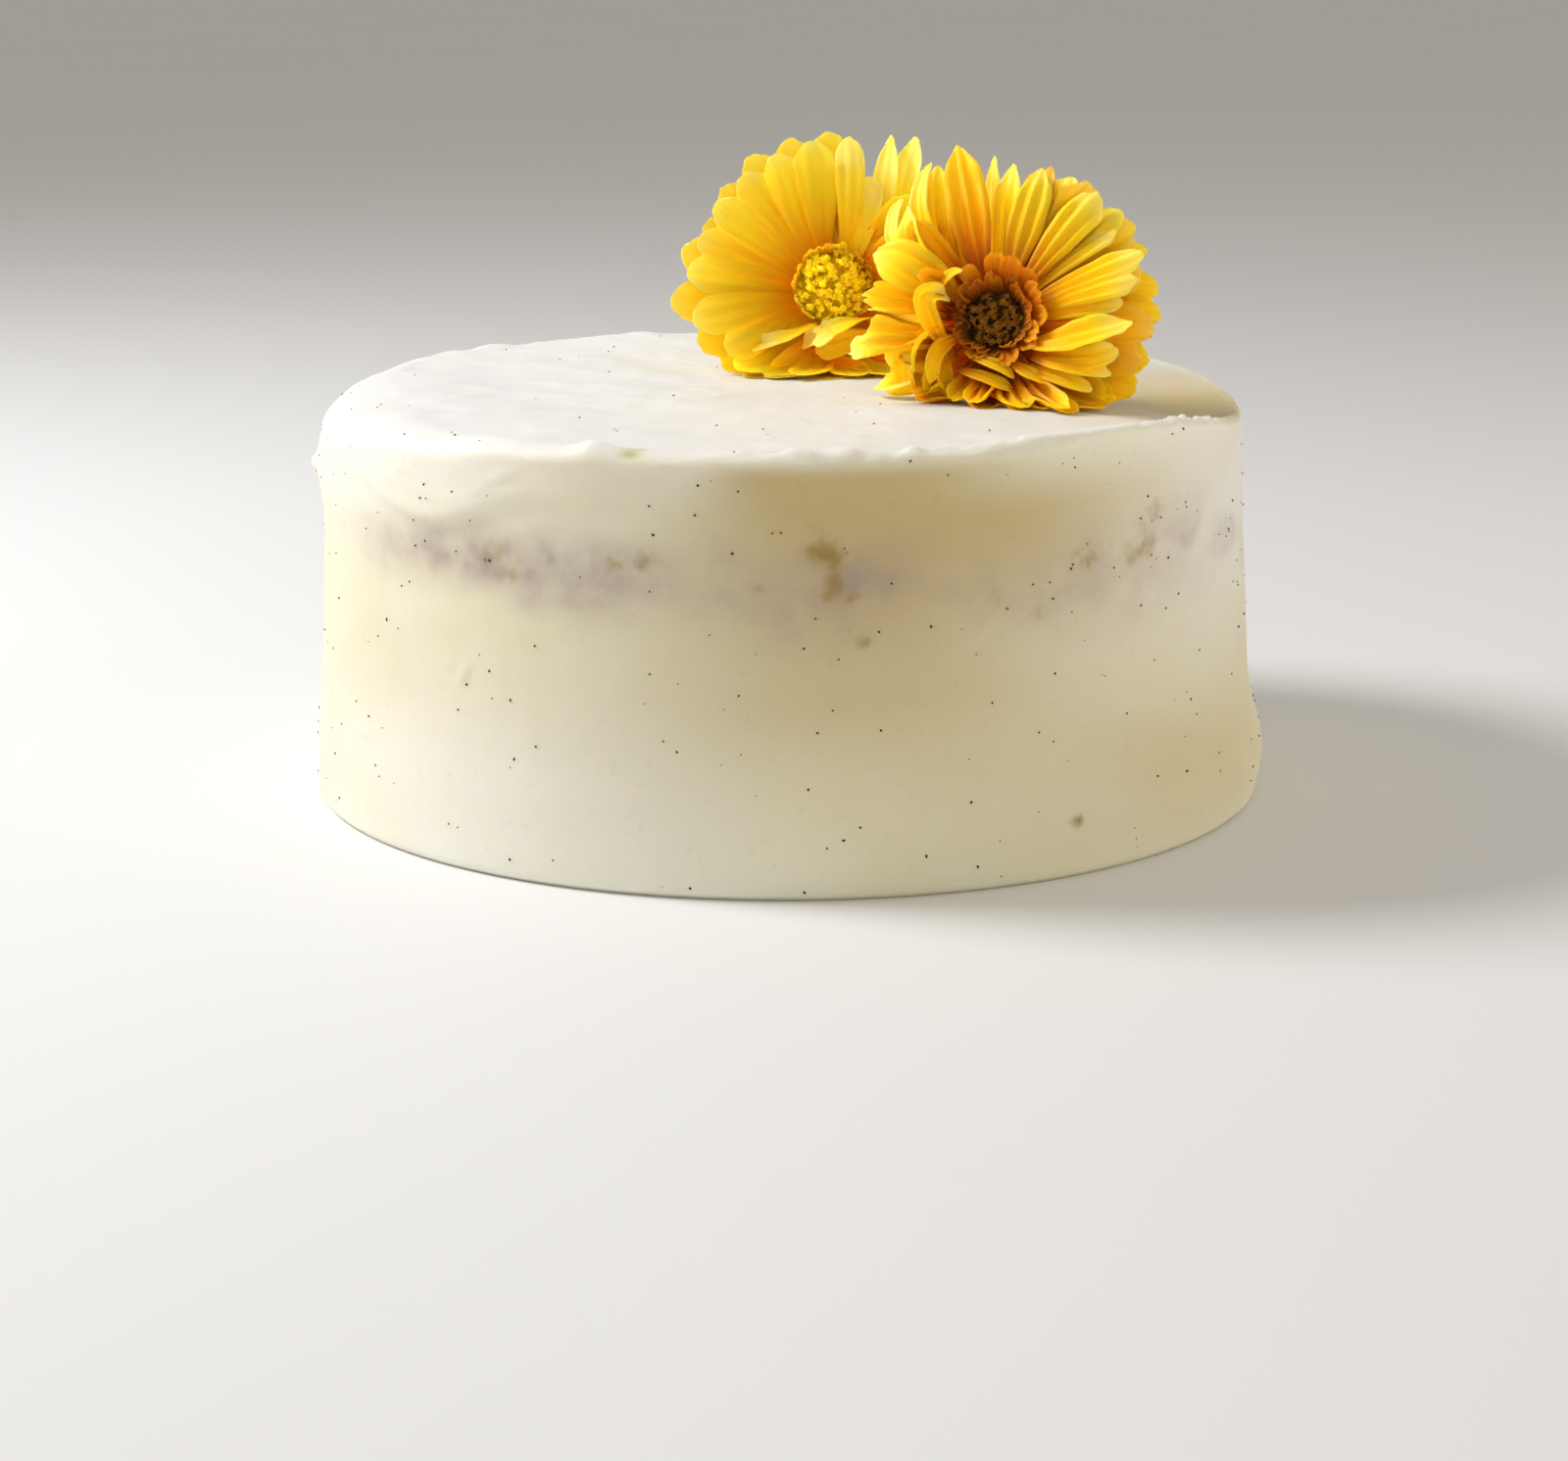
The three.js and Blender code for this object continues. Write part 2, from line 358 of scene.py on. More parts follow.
def piece(name, mesh, slot, *nodes):
    """Puts a finished mesh in the scene as a piece of the cake's one body."""
    mesh.name = name
    made = new_object(name, mesh)
    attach(made, "root")
    if nodes:
        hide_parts(*nodes)


# Materials.


class Finish(Tree):
    """A material with one Principled shader."""

    def __init__(self, name):
        self.material = bpy.data.materials.new(name)
        self.material.use_nodes = True
        super().__init__(self.material.node_tree)
        self.shader = self.group.nodes["Principled BSDF"]
        self.place = self.wire("ShaderNodeTexCoord", output="Object")

    def set(self, **values):
        for name, value in values.items():
            self.feed(self.shader.inputs[name.replace("_", " ")], value)

    def attribute(self, name):
        return self.wire("ShaderNodeAttribute", output="Fac", attribute_name=name)

    def noise(self, scale, detail=3.0, vector=None, stretch=None):
        vector = vector or self.place
        if stretch:
            vector = self.wire("ShaderNodeMapping", {"Vector": vector, "Scale": stretch})
        return self.wire("ShaderNodeTexNoise", {"Vector": vector, "Scale": scale, "Detail": detail})

    def ramp(self, factor, *stops):
        node = self.add("ShaderNodeValToRGB", {"Fac": factor})
        points = node.color_ramp.elements
        while len(points) < len(stops):
            points.new(1.0)
        for point, (place, colour) in zip(points, stops):
            point.position = place
            point.color = (*colour, 1.0)
        return Wire(self, node.outputs[0])

    def between(self, value, low, high):
        """From 0 to 1 as a value goes from low to high, with soft ends."""
        inputs = {"Value": value, "From Min": low, "From Max": high}
        return self.wire("ShaderNodeMapRange", inputs, interpolation_type="SMOOTHSTEP")

    def mix(self, factor, first, second, how="MIX"):
        inputs = {0: factor}
        for key, colour in ((6, first), (7, second)):
            inputs[key] = (*colour, 1.0) if isinstance(colour, tuple) else colour
        return self.wire("ShaderNodeMix", inputs, 2, data_type="RGBA", blend_type=how)

    def bump(self, height, distance, strength=1.0, under=None):
        inputs = {"Height": height, "Distance": distance * MM, "Strength": strength, "Normal": under}
        return self.wire("ShaderNodeBump", inputs)


# The frosting's own colours, the colours of what shows through it, a white that is painted light, and a tan
# that is partly cake under thin frosting and partly painted shade.
CREAM = (0.885, 0.86, 0.69)
CREAM_WARM = (0.875, 0.83, 0.61)
PAINTED_LIGHT_WHITE = (0.96, 0.94, 0.90)
TAN_THIN_AND_SHADE = (0.66, 0.51, 0.22)
CRUMB_MAUVE = (0.43, 0.325, 0.305)
CRUMB_BROWN = (0.36, 0.23, 0.03)
TEAR_OLIVE = (0.50, 0.47, 0.12)


def frosting_finish():
    """Cream, whiter with painted light, tan where cake shows through thin frosting and where shade is
    painted, and mauve or brown where cake shows through.
    """
    finish = Finish("cream_frosting")
    cloud = finish.between(finish.noise(22.0), 0.35, 0.7)
    fleck = finish.between(finish.noise(150.0), 0.3, 0.7)
    uneven = (finish.noise(420.0, 5.0) - 0.5).scaled(1.6, finish.attribute("spots"))
    colour = finish.mix(cloud, CREAM, CREAM_WARM)
    layers = (
        # The white layer is painted light; the tan layer is partly cake under thin frosting and partly
        # painted shade.
        (finish.attribute("painted_light"), PAINTED_LIGHT_WHITE),
        (finish.attribute("thin_and_shade"), TAN_THIN_AND_SHADE),
        (finish.attribute("crumb") * fleck.scaled(0.30, 0.36), CRUMB_MAUVE),
        (finish.between(uneven, 0.1, 1.6) * 0.85, CRUMB_BROWN),
        (finish.attribute("tear"), TEAR_OLIVE),
    )
    for share, tint in layers:
        colour = finish.mix(share, colour, tint)
    smear = finish.noise(60.0, 4.0, stretch=(1.0, 1.0, 5.0))
    ripple = finish.noise(900.0, 2.0, stretch=(1.0, 1.0, 0.12))
    pores = finish.noise(1600.0)
    normal = finish.bump(smear, 0.35, 0.35)
    normal = finish.bump(ripple, 0.05, 0.25, normal)
    normal = finish.bump(pores, 0.03, 0.3, normal)
    finish.set(Base_Color=colour, Roughness=0.52, Normal=normal, Subsurface_Weight=0.6)
    finish.set(Subsurface_Radius=(1.0, 0.72, 0.42), Subsurface_Scale=4.0 * MM, Specular_IOR_Level=0.32)
    return finish.material


def petal_finish(name, stops):
    """A petal's colour from root to tip, with streaks that run along it, moved by paleness and darkened by
    tone, which carry painted light and painted shade.
    """
    finish = Finish(name)
    along = finish.attribute("along")
    tone = finish.attribute("tone")
    lines = finish.vector(finish.attribute("across") * 5.0, along * 1.3, tone * 37.0)
    streak = (finish.noise(1.6, vector=lines) - 0.5) * 0.26
    # Paleness moves the colour along the ramp: each petal's own tone, with painted light and painted shade.
    colour = finish.ramp(along + streak + finish.attribute("paleness") * 0.4, *stops)
    # Tone darkens and reddens the colour: a random part and painted shade.
    redder = tone.scaled(0.05, 0.965)
    greener = tone.scaled(0.24, 0.80)
    colour = finish.mix(1.0, colour, finish.vector(redder, greener, greener), "MULTIPLY")
    normal = finish.bump(finish.noise(4.5, 2.0, lines), 0.16, 0.35)
    finish.shader.subsurface_method = "BURLEY"
    finish.set(Base_Color=colour, Roughness=0.5, Normal=normal, Subsurface_Weight=0.9)
    finish.set(Subsurface_Radius=(1.0, 0.66, 0.12), Subsurface_Scale=2.4 * MM, Specular_IOR_Level=0.16)
    return finish.material


def plain_finish(name, dark, light, scale, roughness, gloss=0.3):
    """A mottled finish between two colours, with a fine grain."""
    finish = Finish(name)
    mottle = finish.between(finish.noise(scale, 4.0), 0.35, 0.68)
    normal = finish.bump(finish.noise(scale * 3.0, 2.0), 0.12, 0.5)
    finish.set(Base_Color=finish.mix(mottle, dark, light), Roughness=roughness)
    finish.set(Normal=normal, Specular_IOR_Level=gloss)
    return finish.material


def floret_finish(name, low, high):
    """A floret's colour from its foot to its mouth."""
    finish = Finish(name)
    mottle = (finish.noise(700.0) - 0.5) * 0.5
    colour = finish.ramp(finish.attribute("along") + mottle, (0.0, low), (0.55, high))
    finish.shader.subsurface_method = "BURLEY"
    finish.set(Base_Color=colour, Roughness=0.55, Specular_IOR_Level=0.3)
    finish.set(Subsurface_Weight=1.0, Subsurface_Radius=(1.0, 0.75, 0.15), Subsurface_Scale=3.0 * MM)
    return finish.material


# The frosting, in the frame of the cake's own axis.

# Small torn flakes on the rim at the front right: each one's angle, its width in degrees and its rise.
RIM_FLAKES = (
    (-65.5, 1.6, 0.5), (-59.7, 1.3, 0.9), (-57.2, 0.8, 0.6), (-55.3, 1.0, 0.5), (-51.0, 1.2, 0.3),
    (-37.2, 1.4, 1.0), (-34.6, 0.9, 0.8), (-27.3, 1.2, 0.7),
)

# Ridges along the rim of the top: each one's pattern, its rise, its angle and its width in degrees.
RIM_RIDGES = (
    ("broken", 0.75, -78, 26), ("jagged", 1.05, -34, 30), ("doubled", 0.5, -72, 30),
    ("jagged", 0.35, 70, 90), ("whole", 1.1, 137, 3.5), ("whole", 0.77, 112, 5),
)

# Where crumbs show through: each spot's angle and height, its size and its strength.
CRUMB_SPOTS = (
    (-125.2, 69.2, 6.4, 0.7), (-122.0, 66.5, 3.6, 0.7), (-109.3, 70.7, 4.2, 0.8), (-105.8, 71.3, 4.2, 1.0),
    (-117.0, 70.5, 2.8, 0.7), (-86.2, 74.2, 6.0, 1.2), (-84.2, 72.6, 4.0, 1.0), (-84.8, 65.8, 5.0, 1.2),
    (-82.4, 64.6, 3.0, 0.9), (-84.6, 69.4, 3.0, 1.0), (-81.4, 55.3, 3.8, 0.9), (-92.7, 66.8, 2.8, 1.0),
    (-53.4, 68.9, 7.0, 0.8), (-43.6, 69.8, 6.6, 0.8), (-46.4, 68.0, 5.0, 0.7), (-41.9, 76.8, 5.0, 0.8),
    (-66.0, 62.5, 4.0, 0.5), (-60.0, 58.5, 4.0, 0.5), (-55.0, 12.5, 3.0, 1.2),
)

# Strokes on the side: each one's rise, its (angle, height), its turn from level, length and width.
FOLD_STROKES = (
    (0.35, (-128.0, 82.5), 16, 15.0, 1.7), (0.35, (-124.0, 86.5), 16, 12.0, 1.7),
    (0.35, (-141.0, 84.0), 16, 11.0, 1.7),
)
SIDE_STROKES = (
    (1.6, (-171.5, 78.4), 80, 3.6, 3.0), (0.55, (-129.3, 43.5), 55, 5.5, 1.6),
    (0.35, (-131.5, 45.5), 10, 4.0, 1.3), (0.55, (-149.0, 24.2), 4, 9.0, 1.5),
    (0.30, (-68.3, 54.5), 38, 12.0, 1.1), (-0.30, (-67.0, 53.2), 38, 12.0, 1.2),
    (-0.5, (-107.5, 93.0), 0, 5.0, 1.6),
)


def rim_height(angle):
    """The rim stands up at the front right and sinks at the right."""
    raised = 2.2 * bell_round(angle, -47, 16)
    sunken = 3.9 * bell_round(angle, -7, 20)
    return CAKE_HEIGHT + raised - sunken


def shoulder_radius(angle):
    """The edge of the top is crisp, but round at the left and less crisp at the front."""
    return blend(RIM_BEVEL, ROUND_SHOULDER, bell_round(angle, -168, 42)) + 1.6 * bell_round(angle, -72, 38)


def shoulder_reach(angle):
    """The round shoulder at the left reaches twice as far inwards as down."""
    return shoulder_radius(angle) * (1 + bell_round(angle, -168, 42))


def fold_edge(angle):
    """Lower edge of the thick fold of frosting on the front left, a shallow bowl in outline."""
    return 77.5 - 3.5 * np.cos(np.radians((angle + 135) * 11))


def side_radius(angle, height):
    """The side flares towards its foot, bulges here and there and has the fold at its upper left."""
    sideways = np.cos(np.radians(angle)) ** 2
    flare = blend(FLARE_FRONT, FLARE_SIDE, sideways) * (1 - height / CAKE_HEIGHT)
    right_foot = 3.4 * bell_round(angle, 0, 50) * bell(height, 11, 11)
    left_foot = 0.8 * bell_round(angle, 180, 50) * bell(height, 14, 12)
    left_bulge = 1.8 * bell_round(angle, 180, 32) * bell(height, 78, 8)
    edge = fold_edge(angle)
    fold = 1.5 * bell_round(angle, -135, 20) * smooth(height, edge - 2.5, edge + 4.0)
    spreading = 0.35 * np.sin(np.radians(3 * angle + 40)) * np.sin(height / 19)
    return RIM_RADIUS + flare + right_foot + left_foot + left_bulge + fold + spreading


def lip_height(angle):
    """The lip of frosting that stands above the top, high at the front right."""
    width = np.where(turn_from(-40, angle) > 0, 21, 32)
    return 0.02 + 2.8 * bell_round(angle, -40, width)


def top_height(angle, radius):
    """The top is almost level, with a faint swirl, and joins the lip near the rim."""
    inside_lip = RIM_RADIUS - shoulder_reach(angle) - LIP_WIDTH
    near_rim = smooth(radius / inside_lip, 0.6, 1.0)
    swirl = 0.3 * np.sin(np.radians(2 * angle) + radius / 17) * (1 - near_rim) * smooth(radius, 0, 40)
    return blend(TOP_LEVEL, rim_height(angle) - lip_height(angle), near_rim) + swirl


def frosting_rings(angle):
    """Rings of radius, height and share of the top, from the middle of the base to that of the top."""
    level = np.zeros_like(angle)
    foot = side_radius(angle, 0.0) - BASE_BEVEL
    rings = [(foot * share, level, 0.0) for share in (0.45, 0.8, 0.96, 1.0)]
    shoulder = shoulder_radius(angle)
    rim = rim_height(angle)
    side_top = rim - shoulder
    for row in range(SIDE_ROWS + 1):
        height = blend(BASE_BEVEL + level, side_top, row / SIDE_ROWS)
        rings.append((side_radius(angle, height), height, 0.0))
    reach = shoulder_reach(angle)
    corner = side_radius(angle, side_top) - reach
    for row in range(1, SHOULDER_ROWS + 1):
        turn = math.pi / 2 * row / SHOULDER_ROWS
        ring = (corner + reach * math.cos(turn), side_top + shoulder * math.sin(turn))
        rings.append((*ring, row / SHOULDER_ROWS))
    for row in range(1, LIP_ROWS + 1):
        share = row / LIP_ROWS
        radius = corner - LIP_WIDTH * share
        rings.append((radius, blend(rim, top_height(angle, radius), smooth(share, 0.0, 1.0)), 1.0))
    for row in range(1, TOP_ROWS):
        radius = (corner - LIP_WIDTH) * (1 - row / TOP_ROWS)
        rings.append((radius, top_height(angle, radius), 1.0))
    return rings


def ridge(angle, height, place, turn, length, width):
    """A short raised stroke on the side, at (angle, height), turned from level."""
    arc = np.radians(turn_from(place[0], angle)) * RIM_RADIUS
    rise = height - place[1]
    cosine, sine = swing(turn)
    along = arc * cosine + rise * sine
    across = rise * cosine - arc * sine
    return bell(along, 0, length / 2) * bell(across - 0.02 * along**2, 0, width / 2)


def side_relief(angle, height, points):
    """How far the frosting of the side stands out, from scraper marks and strokes."""
    relief = 0.20 * grain(points, (40, 40, 26), 1)
    relief += 0.10 * grain(points, (55, 55, 5), 2)
    relief += 0.035 * grain(points, (2.4, 2.4, 30), 3)
    relief += 0.04 * grain(points, (5, 5, 3), 4)
    edge = fold_edge(angle)
    in_fold = bell_round(angle, -133, 17)
    relief += 0.45 * in_fold * bell(height, edge + 2.4, 2.6)
    relief -= 0.12 * in_fold * bell(height, edge - 1.6, 1.9)
    for rise, *stroke in FOLD_STROKES:
        relief += rise * ridge(angle, height, *stroke)
    slanting = np.stack([points[:, 0] + 1.6 * points[:, 2], points[:, 1], points[:, 2]], 1)
    strokes = grain(slanting, (16, 30, 3), 5)
    relief += 0.35 * strokes * bell_round(angle, -140, 24) * smooth(height, edge, edge + 4)
    for rise, *stroke in SIDE_STROKES:
        relief += rise * ridge(angle, height, *stroke)
    return relief - 0.15 * crumb_spots(angle, height)


def top_relief(angle, radius, points):
    """Spatula strokes on the top and broken ridges along its rim."""
    around_back = np.hypot(points[:, 0] + 25, points[:, 1] - 190)
    around_left = np.hypot(points[:, 0] + 210, points[:, 1] + 20)
    sweep = np.stack([around_back, 0.12 * points[:, 0], 0 * radius], 1)
    turn = np.stack([around_left, 0.16 * points[:, 1], 0 * radius], 1)
    stroke = grain(sweep, (17, 3.4, 1), 6)
    cross = grain(turn, (15, 4.5, 1), 7)
    lumps = grain(points, (8, 8, 8), 13)
    off_middle = smooth(radius, 4, 40)
    relief = 0.5 * stroke + 0.35 * smooth(stroke, 0.05, 0.2) * bell_round(angle, -120, 75) * off_middle
    relief += 0.3 * cross + 0.2 * smooth(cross, 0.05, 0.2) * bell_round(angle, 160, 70) * off_middle
    relief += 0.16 * lumps + 0.12 * smooth(lumps, 0.1, 0.25) + 0.04 * grain(points, (3, 3, 3), 8)
    edge = smooth(radius, 96.5, 101.0)
    jagged = grain(points, (1.6, 1.6, 1.6), 10) + 0.6 * grain(points, (4.5, 4.5, 4.5), 11)
    patterns = {
        "whole": edge,
        "broken": edge * smooth(grain(points, (4.5, 3, 3), 9), -0.05, 0.25),
        "jagged": edge * jagged,
        "doubled": smooth(grain(points, (7, 7, 7), 12), 0.0, 0.2) * bell(radius, 103.1, 0.8),
    }
    for pattern, rise, place, width in RIM_RIDGES:
        relief += rise * patterns[pattern] * bell_round(angle, place, width)
    relief += 1.5 * edge * bell_round(angle, -112.3, 2.2) * smooth(radius, 98, 103)
    for place, width, rise in RIM_FLAKES:
        relief += rise * smooth(radius, 99, 102.5) * bell_round(angle, place, width)
    return relief


def crumb_spots(angle, height):
    """How much each point lies in the small spots of crumb."""
    shown = np.zeros_like(angle)
    for middle, level, size, strength in CRUMB_SPOTS:
        arc = np.radians(turn_from(middle, angle)) * RIM_RADIUS
        shown += strength * bell(np.hypot(arc, 1.2 * (height - level)), 0, size / 1.6)
    return shown


def crumb_share(angle, height, points):
    """Where cake shows faintly under thin frosting, in a band round the upper layer."""
    wander = 3.0 * grain(points, (24, 24, 24), 20)
    patch = smooth(grain(points, (19, 19, 11), 21), -0.05, 0.4)
    band = bell(height + wander, 66, 8.5) * patch * (1 - bell_round(angle, -154, 15))
    left = 1.35 * bell_round(angle, -126, 21) * bell(height + 0.3 * wander, 69.0, 6.0)
    low_left = 0.35 * bell_round(angle, -110, 15) * bell(height + wander, 66, 7)
    centre = 0.65 * bell_round(angle, -84, 9) * bell(height + wander, 66, 10)
    right = 0.5 * bell_round(angle, -47, 24) * bell(height + wander, 66, 12)
    return np.clip(0.45 * band + left + low_left + centre + right, 0, 1.3)


def thin_and_shade_share(angle, height, points):
    """Tan where cake shows through thin frosting at random round the back, and painted shade in a band at
    mid-height and at the foot on the right; under the front rim it is partly thin frosting and partly painted
    shade.
    """
    wandering = height + 4.0 * grain(points, (30, 30, 30), 22)
    below_top = np.clip(CAKE_HEIGHT - height, 0, 60)
    front = smooth(angle, -99.0 - 0.7 * below_top, -94.0 + 0.5 * below_top) * (1 - smooth(angle, -66, -30))
    below_rim = np.clip(rim_height(angle) - height, 0, 60)
    starting = blend(smooth(below_rim, 0.5, 5), smooth(below_rim, 2, 15), smooth(angle, -78, -56))
    upper = 0.85 * front * smooth(wandering, 46, 82) * starting
    upper += 0.22 * bell_round(angle, -112, 12) * bell(height, 84, 10)
    right = bell_round(angle, -28, 34) * bell(wandering, 16, 20)
    round_back = 0.35 * smooth(grain(points, (36, 36, 20), 23), 0.0, 0.5)
    middle = (0.18 + 0.44 * bell_round(angle, -80, 22)) * bell(wandering, 46, 22)
    return np.clip(upper + middle + 0.55 * right + round_back * bell_round(angle, 90, 110), 0, 1)


def painted_light_share(angle, height):
    """Painted light: the side is whiter at its upper left, at its foot on the left and at its upper right."""
    upper = 0.7 * bell_round(angle, -146, 42) * smooth(height, 66, 90)
    foot = 0.5 * bell_round(angle, -127, 28) * (1 - smooth(height, 20, 75))
    right = 0.6 * bell_round(angle, -27, 25) * smooth(height, 24, 66)
    return np.clip(upper + foot + right, 0, 1)


def painted_flower_shadow(points):
    """Painted shadow of the flowers on the top, towards its right edge."""
    return 0.85 * bell(points[:, 0], 94, 24) * bell(points[:, 1], -6, 34)


def painted_light_on_top(points):
    """Painted light: the top is whitest at its left, and not in the flowers' painted shadow."""
    return blend(1.0, 0.8, smooth(points[:, 0], -85, -10)) * (1 - painted_flower_shadow(points))


def frosted_cake(material):
    """The whole cake as one closed skin of rings, with masks for its finish and its specks."""
    angle = np.linspace(-180.0, 180.0, CAKE_COLUMNS, endpoint=False)
    rings = frosting_rings(angle)
    radius = np.array([ring[0] for ring in rings])
    height = np.array([ring[1] for ring in rings])
    on_top = np.repeat([[ring[2]] for ring in rings], CAKE_COLUMNS, axis=1)
    angles = np.broadcast_to(angle, radius.shape)
    turned = np.radians(angles)
    grid = np.stack([radius * np.cos(turned), radius * np.sin(turned), height], -1)
    around = np.roll(grid, -1, axis=1) - np.roll(grid, 1, axis=1)
    outwards = unit(np.cross(around, np.gradient(grid, axis=0)))
    even = grid.reshape(-1, 3)
    angle, radius, height, on_top = (values.ravel() for values in (angles, radius, height, on_top))
    relief = blend(side_relief(angle, height, even), top_relief(angle, radius, even), on_top)
    points = even + outwards.reshape(-1, 3) * (relief * smooth(height, 0.0, 2.5))[:, None]
    middle = np.array([[0, 0, 0], [0, 0, points[-CAKE_COLUMNS:, 2].mean()]])
    points = np.concatenate([points, middle]) + CAKE_AXIS
    low, high = (np.array(corner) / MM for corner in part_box("frosted_cake"))
    points = np.clip(points, low + [BOX_MARGIN, BOX_MARGIN, 0], high - BOX_MARGIN)
    mesh = new_mesh("frosting", points, ring_faces(len(rings), CAKE_COLUMNS), material)
    masks = {
        # The tan mask holds painted shade as well as thin frosting, and the white mask is painted light.
        "thin_and_shade": blend(thin_and_shade_share(angle, height, even), painted_flower_shadow(even), on_top),
        "crumb": crumb_share(angle, height, even) * (1 - on_top),
        "tear": 0.8 * ridge(angle, height, (-107.5, 93.2), 0, 5.0, 1.8) * (radius > 100),
        "spots": crumb_spots(angle, height) * (1 - on_top),
        "painted_light": blend(painted_light_share(angle, height), painted_light_on_top(even), on_top),
        "specks": blend(1.0, 0.25, on_top) * (height > 1.5),
    }
    for name, values in masks.items():
        ends = [0.0, values[-CAKE_COLUMNS:].mean()]
        give_attributes(mesh, **{name: np.concatenate([values, ends])})
    return mesh


# What lies in and on the frosting.

# Grains of each kind: their piece and its slot, the mask that lets them, how many a square metre,
# their smallest and largest radius, their seed and their finish.
GRAINS = (
    ("vanilla_specks", "vanilla_specks", "specks", 6600.0, 0.14, 0.31, 4,
     ("vanilla_seed", (0.012, 0.008, 0.005), (0.03, 0.018, 0.01), 900.0, 0.6)),
    ("cake_crumbs", "cake_crumb", "spots", 9000.0, 0.12, 0.34, 9,
     ("cake_crumbs", (0.34, 0.17, 0.05), (0.55, 0.34, 0.13), 600.0, 0.8)),
)
GRAIN_STRETCH = 1.8


def scatter_growth():
    """Small grains set at random on a surface, where an attribute lets them."""
    growth = Growth("scattered_grains")
    mask = growth.size("Where", "String")
    seed = growth.size("Seed", "Int")
    density, smallest, largest, longest = growth.sizes(
        "Grains per square metre", "Smallest radius", "Largest radius", "Longest stretch"
    )
    inputs = {"Mesh": growth.start(), "Density": density * growth.attribute(mask), "Seed": seed}
    places = growth.wire("GeometryNodeDistributePointsOnFaces", inputs, "Points", distribute_method="RANDOM")
    ball = growth.wire("GeometryNodeMeshIcoSphere", {"Radius": 1.0, "Subdivisions": 1})
    radius = growth.random(smallest, largest, 1)
    long = radius * growth.random(1.0, longest, 2)
    turn = growth.vector(growth.random(0.0, FULL_TURN, 3), growth.random(0.0, FULL_TURN, 4), 0.0)
    growth.finish(growth.set_out(places, ball, turn, growth.vector(radius, radius * 0.8, long)))
    return growth


# The flower heads.

AHEAD = (0, 0, 1)
SKYWARDS = (0, 0.8, 0.6)
UP_AND_RIGHT = (0.2, 0.6, 0.8)

# Placed petals stand apart from the whorls' even order, where the heads and the cake press them.
# Each is its outline, its root, middle and tip as (right, up, ahead) of the head's middle, the ways
# that it faces there at its root and tip, its width, its roll and how pale it is. Paleness holds the
# petal's own tone with painted light and painted shade, and a petal below zero is also darkened as shade.
REAR_PLACED = (
    ("blunt", (3.4, 8, 5), (4.8, 22, 9.5), (5, 36.4, 8), (-0.1, 0, 1), (-0.2, 0, 1), 7.2, -0.08, 0.45),
    ("blunt", (3, 7, 1), (4, 18, 3), (4.5, 31, 2), AHEAD, AHEAD, 8.0, 0.05, 0.0),
    ("blunt", (5, 5, 4), (8, 15, 8), (10.3, 27, 6.5), (-0.2, 0, 1), (-0.2, 0, 1), 7.4, 0.1, 0.6),
    ("pointed", (9.5, 0, 4), (12.4, 17, 8), (16.4, 37.6, 5), (-0.4, 0, 0.9), (-0.4, 0, 0.9), 6.6, 0.14, 0.7),
    ("lobed", (10, 2, 4), (17, 20, 7), (22.4, 37.4, 4), (-0.2, 0, 1), (-0.5, 0, 0.85), 7.4, 0.14, 0.6),
    ("blunt", (-5, -9, 7), (-13, -13, 9), (-20, -14.4, 6), (-0.4, 0.9, 0.5), (-0.4, 0.8, 0.6), 7.0, 0.2, 0.9),
    ("blunt", (2, -9, 7), (-3, -12, 10), (-8, -14.5, 7), (-0.3, 0.8, 0.6), (-0.3, 0.6, 0.7), 6.5, 0.24, 0.8),
    ("frilled", (9, -8, 7), (3, -9.8, 12), (-4.5, -13, 9), (-0.4, 0.8, 0.5), (-0.4, 0.6, 0.7), 7.0, 0.2, 0.3),
    ("frilled", (3, -10, 8), (-2, -12.5, 12), (-6, -14.6, 11), (-0.3, 0.8, 0.6),
     (-0.3, 0.6, 0.7), 5.5, 0.2, 0.9),
    ("blunt", (10, -12, 8), (3, -14, 11), (-5, -16, 8), (-0.1, 0.1, 1), (-0.1, 0.1, 1), 6.5, 0.1, -0.1),
    ("lobed", (-8, -15, 4), (0, -20, 7), (9, -21.5, 6), (0, -0.5, 0.8), (0, -0.6, 0.8), 8.0, 0.1, -0.6),
    ("lobed", (6, -14, 5), (13, -20, 8), (20, -21.5, 7), (0, -0.5, 0.8), (0, -0.6, 0.8), 8.0, 0.1, -1.0),
    ("lobed", (-6, -12, 5), (-12, -19, 7), (-17, -21, 6), (0, -0.3, 0.9), (0, -0.4, 0.9), 7.0, 0.1, -0.1),
)
